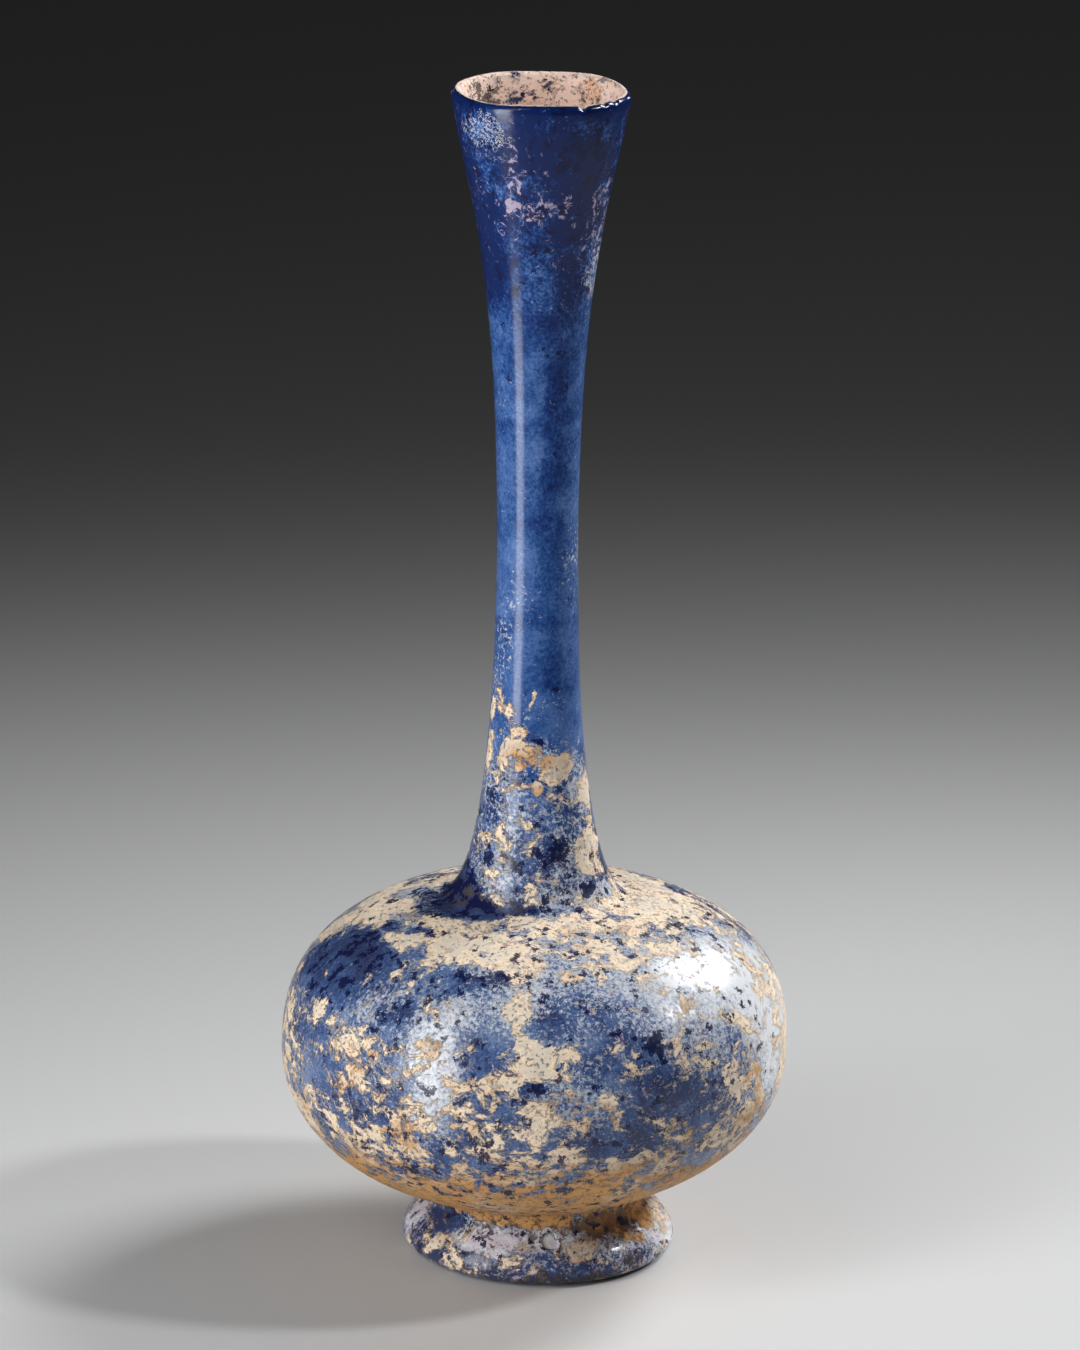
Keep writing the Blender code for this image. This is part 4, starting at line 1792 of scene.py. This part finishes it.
@dataclass
class Flask:
    """The blown flask: its spun skin, its marks of making and age, and its materials.

    Attributes:
        outline: its half section.
        stance: how it stands askew.
        forms: its marks of making and age.
        warp: the shifts that make the outlines of patches ragged.
        patch_edge: how patches fade out.
        steps_round: how finely it is divided round.
        merge_distance: how close points are that the spin leaves double.
        lip_turn_mm: how far up and over the lip the weathering of the outside goes.
        hollow_turn_mm: how far in from the outside of the foot's ring it goes.
        lip_reach_mm: how far down from the lip its unevenness fades out.
        scar_reach: how far round the scar's middle the mesh is divided, against its width.
        scar_cuts: how finely it is divided there.
    """

    outline: FlaskOutline = FlaskOutline()
    stance: Stance = Stance()
    forms: Forms = Forms()
    warp: Warp = Warp()
    patch_edge: PatchEdge = PatchEdge()
    steps_round: int = 224
    merge_distance: float = 0.001 * MM
    lip_turn_mm: float = 1.4
    hollow_turn_mm: float = 0.5
    lip_reach_mm: float = 6.0
    scar_reach: float = 0.85
    scar_cuts: int = 3

    def build(self) -> bpy.types.Object:
        """Build the flask and place it over its CAD node.

        Returns:
            The flask's object.
        """
        mesh = self.spin()
        places = SkinPlaces.read(mesh, self.warp)
        shares = self.weather(places)
        relief = self.relief(places, shares) * MM
        points = places.points + places.normals * relief[:, None]
        points[:, 2] += self.lip_height(places) * MM
        points = self.stance.lean(points)
        mesh.vertices.foreach_set("co", points.astype(np.float32).ravel())
        mesh.update()
        for channel, values in shares.items():
            attribute = mesh.attributes.new(channel.value, "FLOAT", "POINT")
            attribute.data.foreach_set("value", values.astype(np.float32))
        self.dress(mesh, places)
        flask = bpy.data.objects.new("flask_glass", mesh)
        bpy.context.scene.collection.objects.link(flask)
        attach(flask, "root")
        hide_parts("flask")
        return flask

    def spin(self) -> bpy.types.Mesh:
        """Spin the outline into a closed skin that knows how far along the outline it is.

        Returns:
            The upright mesh.
        """
        bm = bmesh.new()
        along = bm.verts.layers.float.new("along_mm")
        hollow, outside = self.outline.hollow(), self.outline.outside()
        line = hollow + outside + self.outline.lip() + self.outline.inside()
        verts = [bm.verts.new(point) for point in line]
        length = -sum((b - a).length for a, b in zip(hollow, hollow[1:] + outside[:1]))
        for vert, point, ahead in zip(verts, line, line[1:] + line[-1:]):
            vert[along] = length / MM
            length += (ahead - point).length
        edges = [bm.edges.new(pair) for pair in zip(verts, verts[1:])]
        bmesh.ops.spin(
            bm,
            geom=verts + edges,
            cent=(0.0, 0.0, 0.0),
            axis=(0.0, 0.0, 1.0),
            angle=FULL_TURN,
            steps=self.steps_round,
            use_merge=True,
        )
        bmesh.ops.remove_doubles(bm, verts=bm.verts, dist=self.merge_distance)
        self.refine(bm, FOOT_SCAR, along)
        bmesh.ops.recalc_face_normals(bm, faces=bm.faces)
        mesh = bpy.data.meshes.new("flask_glass")
        bm.to_mesh(mesh)
        bm.free()
        mesh.shade_smooth()
        return mesh

    def refine(
        self, bm: bmesh.types.BMesh, patch: Patch, along: bmesh.types.BMLayerItem
    ) -> None:
        """Divide the mesh finely round one small patch.

        Args:
            bm: the upright skin.
            patch: the patch.
            along: the layer that holds how far along the outline each point is.
        """
        middle = self.middle(patch)
        radius = patch.across_mm * self.scar_reach
        near = set()
        for vert in bm.verts:
            bearing = math.degrees(math.atan2(vert.co.x, -vert.co.y))
            across = math.radians(bearing - patch.bearing) * math.hypot(*vert.co.xy) / MM
            if math.hypot(across, vert[along] - middle) < radius:
                near.add(vert)
        edges = [edge for edge in bm.edges if near.issuperset(edge.verts)]
        bmesh.ops.subdivide_edges(bm, edges=edges, cuts=self.scar_cuts, use_grid_fill=True)

    def lengths(self, outline: list[Vector]) -> np.ndarray:
        """Return how far along an outline each of its points is, in mm."""
        steps = [(b - a).length / MM for a, b in zip(outline, outline[1:])]
        return np.concatenate(([0.0], np.cumsum(steps)))

    def marks(self, skin: Skin) -> tuple[np.ndarray, np.ndarray]:
        """Return the heights up one side of the glass and how far along the outline they are.

        Args:
            skin: the outside or the inside.

        Returns:
            The heights and the lengths, both in mm, in order of height.
        """
        outside = self.outline.outside()
        lengths = self.lengths(outside)
        if skin is Skin.OUTSIDE:
            return np.array([point.z / MM for point in outside]), lengths
        inside = self.outline.inside()
        round_lip = math.pi * self.outline.lip_wall / 2.0 / MM
        depths = lengths[-1] + round_lip + self.lengths(inside)
        return np.array([point.z / MM for point in inside])[::-1], depths[::-1]

    def middle(self, patch: Patch) -> float:
        """Return how far along the outline a patch's middle is, in mm."""
        return float(np.interp(patch.height_mm, *self.marks(patch.skin)))

    def cover(self, patch: Patch, places: SkinPlaces) -> np.ndarray:
        """Return how far a patch covers each point of the skin."""
        return self.patch_edge.cover(patch, places, self.middle(patch))

    def sides(self, places: SkinPlaces) -> dict[Skin, np.ndarray]:
        """Return which points lie on each side of the glass."""
        over_lip = self.marks(Skin.OUTSIDE)[1][-1] + self.lip_turn_mm
        return {
            Skin.OUTSIDE: (places.along >= -self.hollow_turn_mm) & (places.along <= over_lip),
            Skin.INSIDE: places.along > over_lip,
            Skin.HOLLOW: places.along < -self.hollow_turn_mm,
        }

    def weather(self, places: SkinPlaces) -> dict[Channel, np.ndarray]:
        """Work out how much of each kind of weathering lies on the skin.

        Args:
            places: where the skin's points are.

        Returns:
            Each channel's share at every point.
        """
        heights, lengths = self.marks(Skin.OUTSIDE)
        height = np.interp(places.along, lengths, heights)
        sides = self.sides(places)
        shares = {}
        for grade in GRADES:
            share = np.interp(height, *zip(*grade.shares))
            share = np.where(sides[Skin.HOLLOW], grade.hollow, share)
            shares[grade.channel] = np.where(sides[Skin.INSIDE], grade.inside, share)
        for patch in PATCHES:
            cover = np.where(sides[patch.skin], self.cover(patch, places), 0.0)
            for channel, weight in patch.mark.value:
                shares[channel] = shares[channel] + weight * patch.amount * cover
        return shares

    def relief(self, places: SkinPlaces, shares: dict[Channel, np.ndarray]) -> np.ndarray:
        """Work out how far the skin stands off the smooth one, in mm.

        Args:
            places: where the skin's points are.
            shares: each channel's share at every point.

        Returns:
            The distance at each point.
        """
        forms = self.forms
        crust = smooth_steps(*forms.crust_range, shares[Channel.CRUST]) * forms.crust_rise
        swelling = self.cover(RIGHT_SWELLING, places) * forms.swelling_rise
        flake = self.cover(LIP_FLAKE, places) * forms.flake_rise
        scar = smooth_steps(*forms.scar_rim, self.cover(FOOT_SCAR, places)) * forms.scar_depth
        ripple = places.ripple(forms.ripple_size, forms.ripple_depth)
        relief = crust + swelling + flake - scar + forms.pontil(places) + ripple
        return relief * forms.off_level_ring(places)

    def lip_height(self, places: SkinPlaces) -> np.ndarray:
        """Work out how far the uneven lip stands above a level one, in mm.

        Args:
            places: where the skin's points are.

        Returns:
            The height at each point.
        """
        above_lip = places.points[:, 2] / MM - self.outline.height / MM
        turn = np.radians(places.bearing)
        lip = np.zeros(len(turn))
        for wave in LIP_WAVES:
            lip += wave.height_mm * np.sin(wave.times_round * turn + wave.phase)
        for chip in LIP_CHIPS:
            across = np.abs(np.radians(places.turned_from(chip.bearing))) * places.radius
            lip -= chip.depth_mm * (1.0 - smooth_steps(chip.level_share, 0.5, across / chip.width_mm))
        return lip * smooth_steps(-self.lip_reach_mm, 0.0, above_lip)

    def dress(self, mesh: bpy.types.Mesh, places: SkinPlaces) -> None:
        """Give the outside, the inside and the hollow of the foot their materials.

        Args:
            mesh: the flask's mesh.
            places: where the skin's points are.
        """
        groups = WeatherGroups()
        for finish in (OUTSIDE, INSIDE, HOLLOW):
            mesh.materials.append(finish.build(groups))
        material = np.zeros(len(places.along), int)
        for skin, points in self.sides(places).items():
            material[points] = skin.value
        for polygon in mesh.polygons:
            polygon.material_index = int(material[polygon.vertices[0]])


def main() -> None:
    """Build the camera, the studio and the flask."""
    logging.basicConfig(level=logging.INFO, format="%(name)s: %(message)s")
    LOG.info("%s: placed", ViewCamera().build().name)
    Studio().build()
    flask = Flask().build()
    LOG.info("%s: %d faces", flask.name, len(flask.data.polygons))


if __name__ == "__main__":
    main()
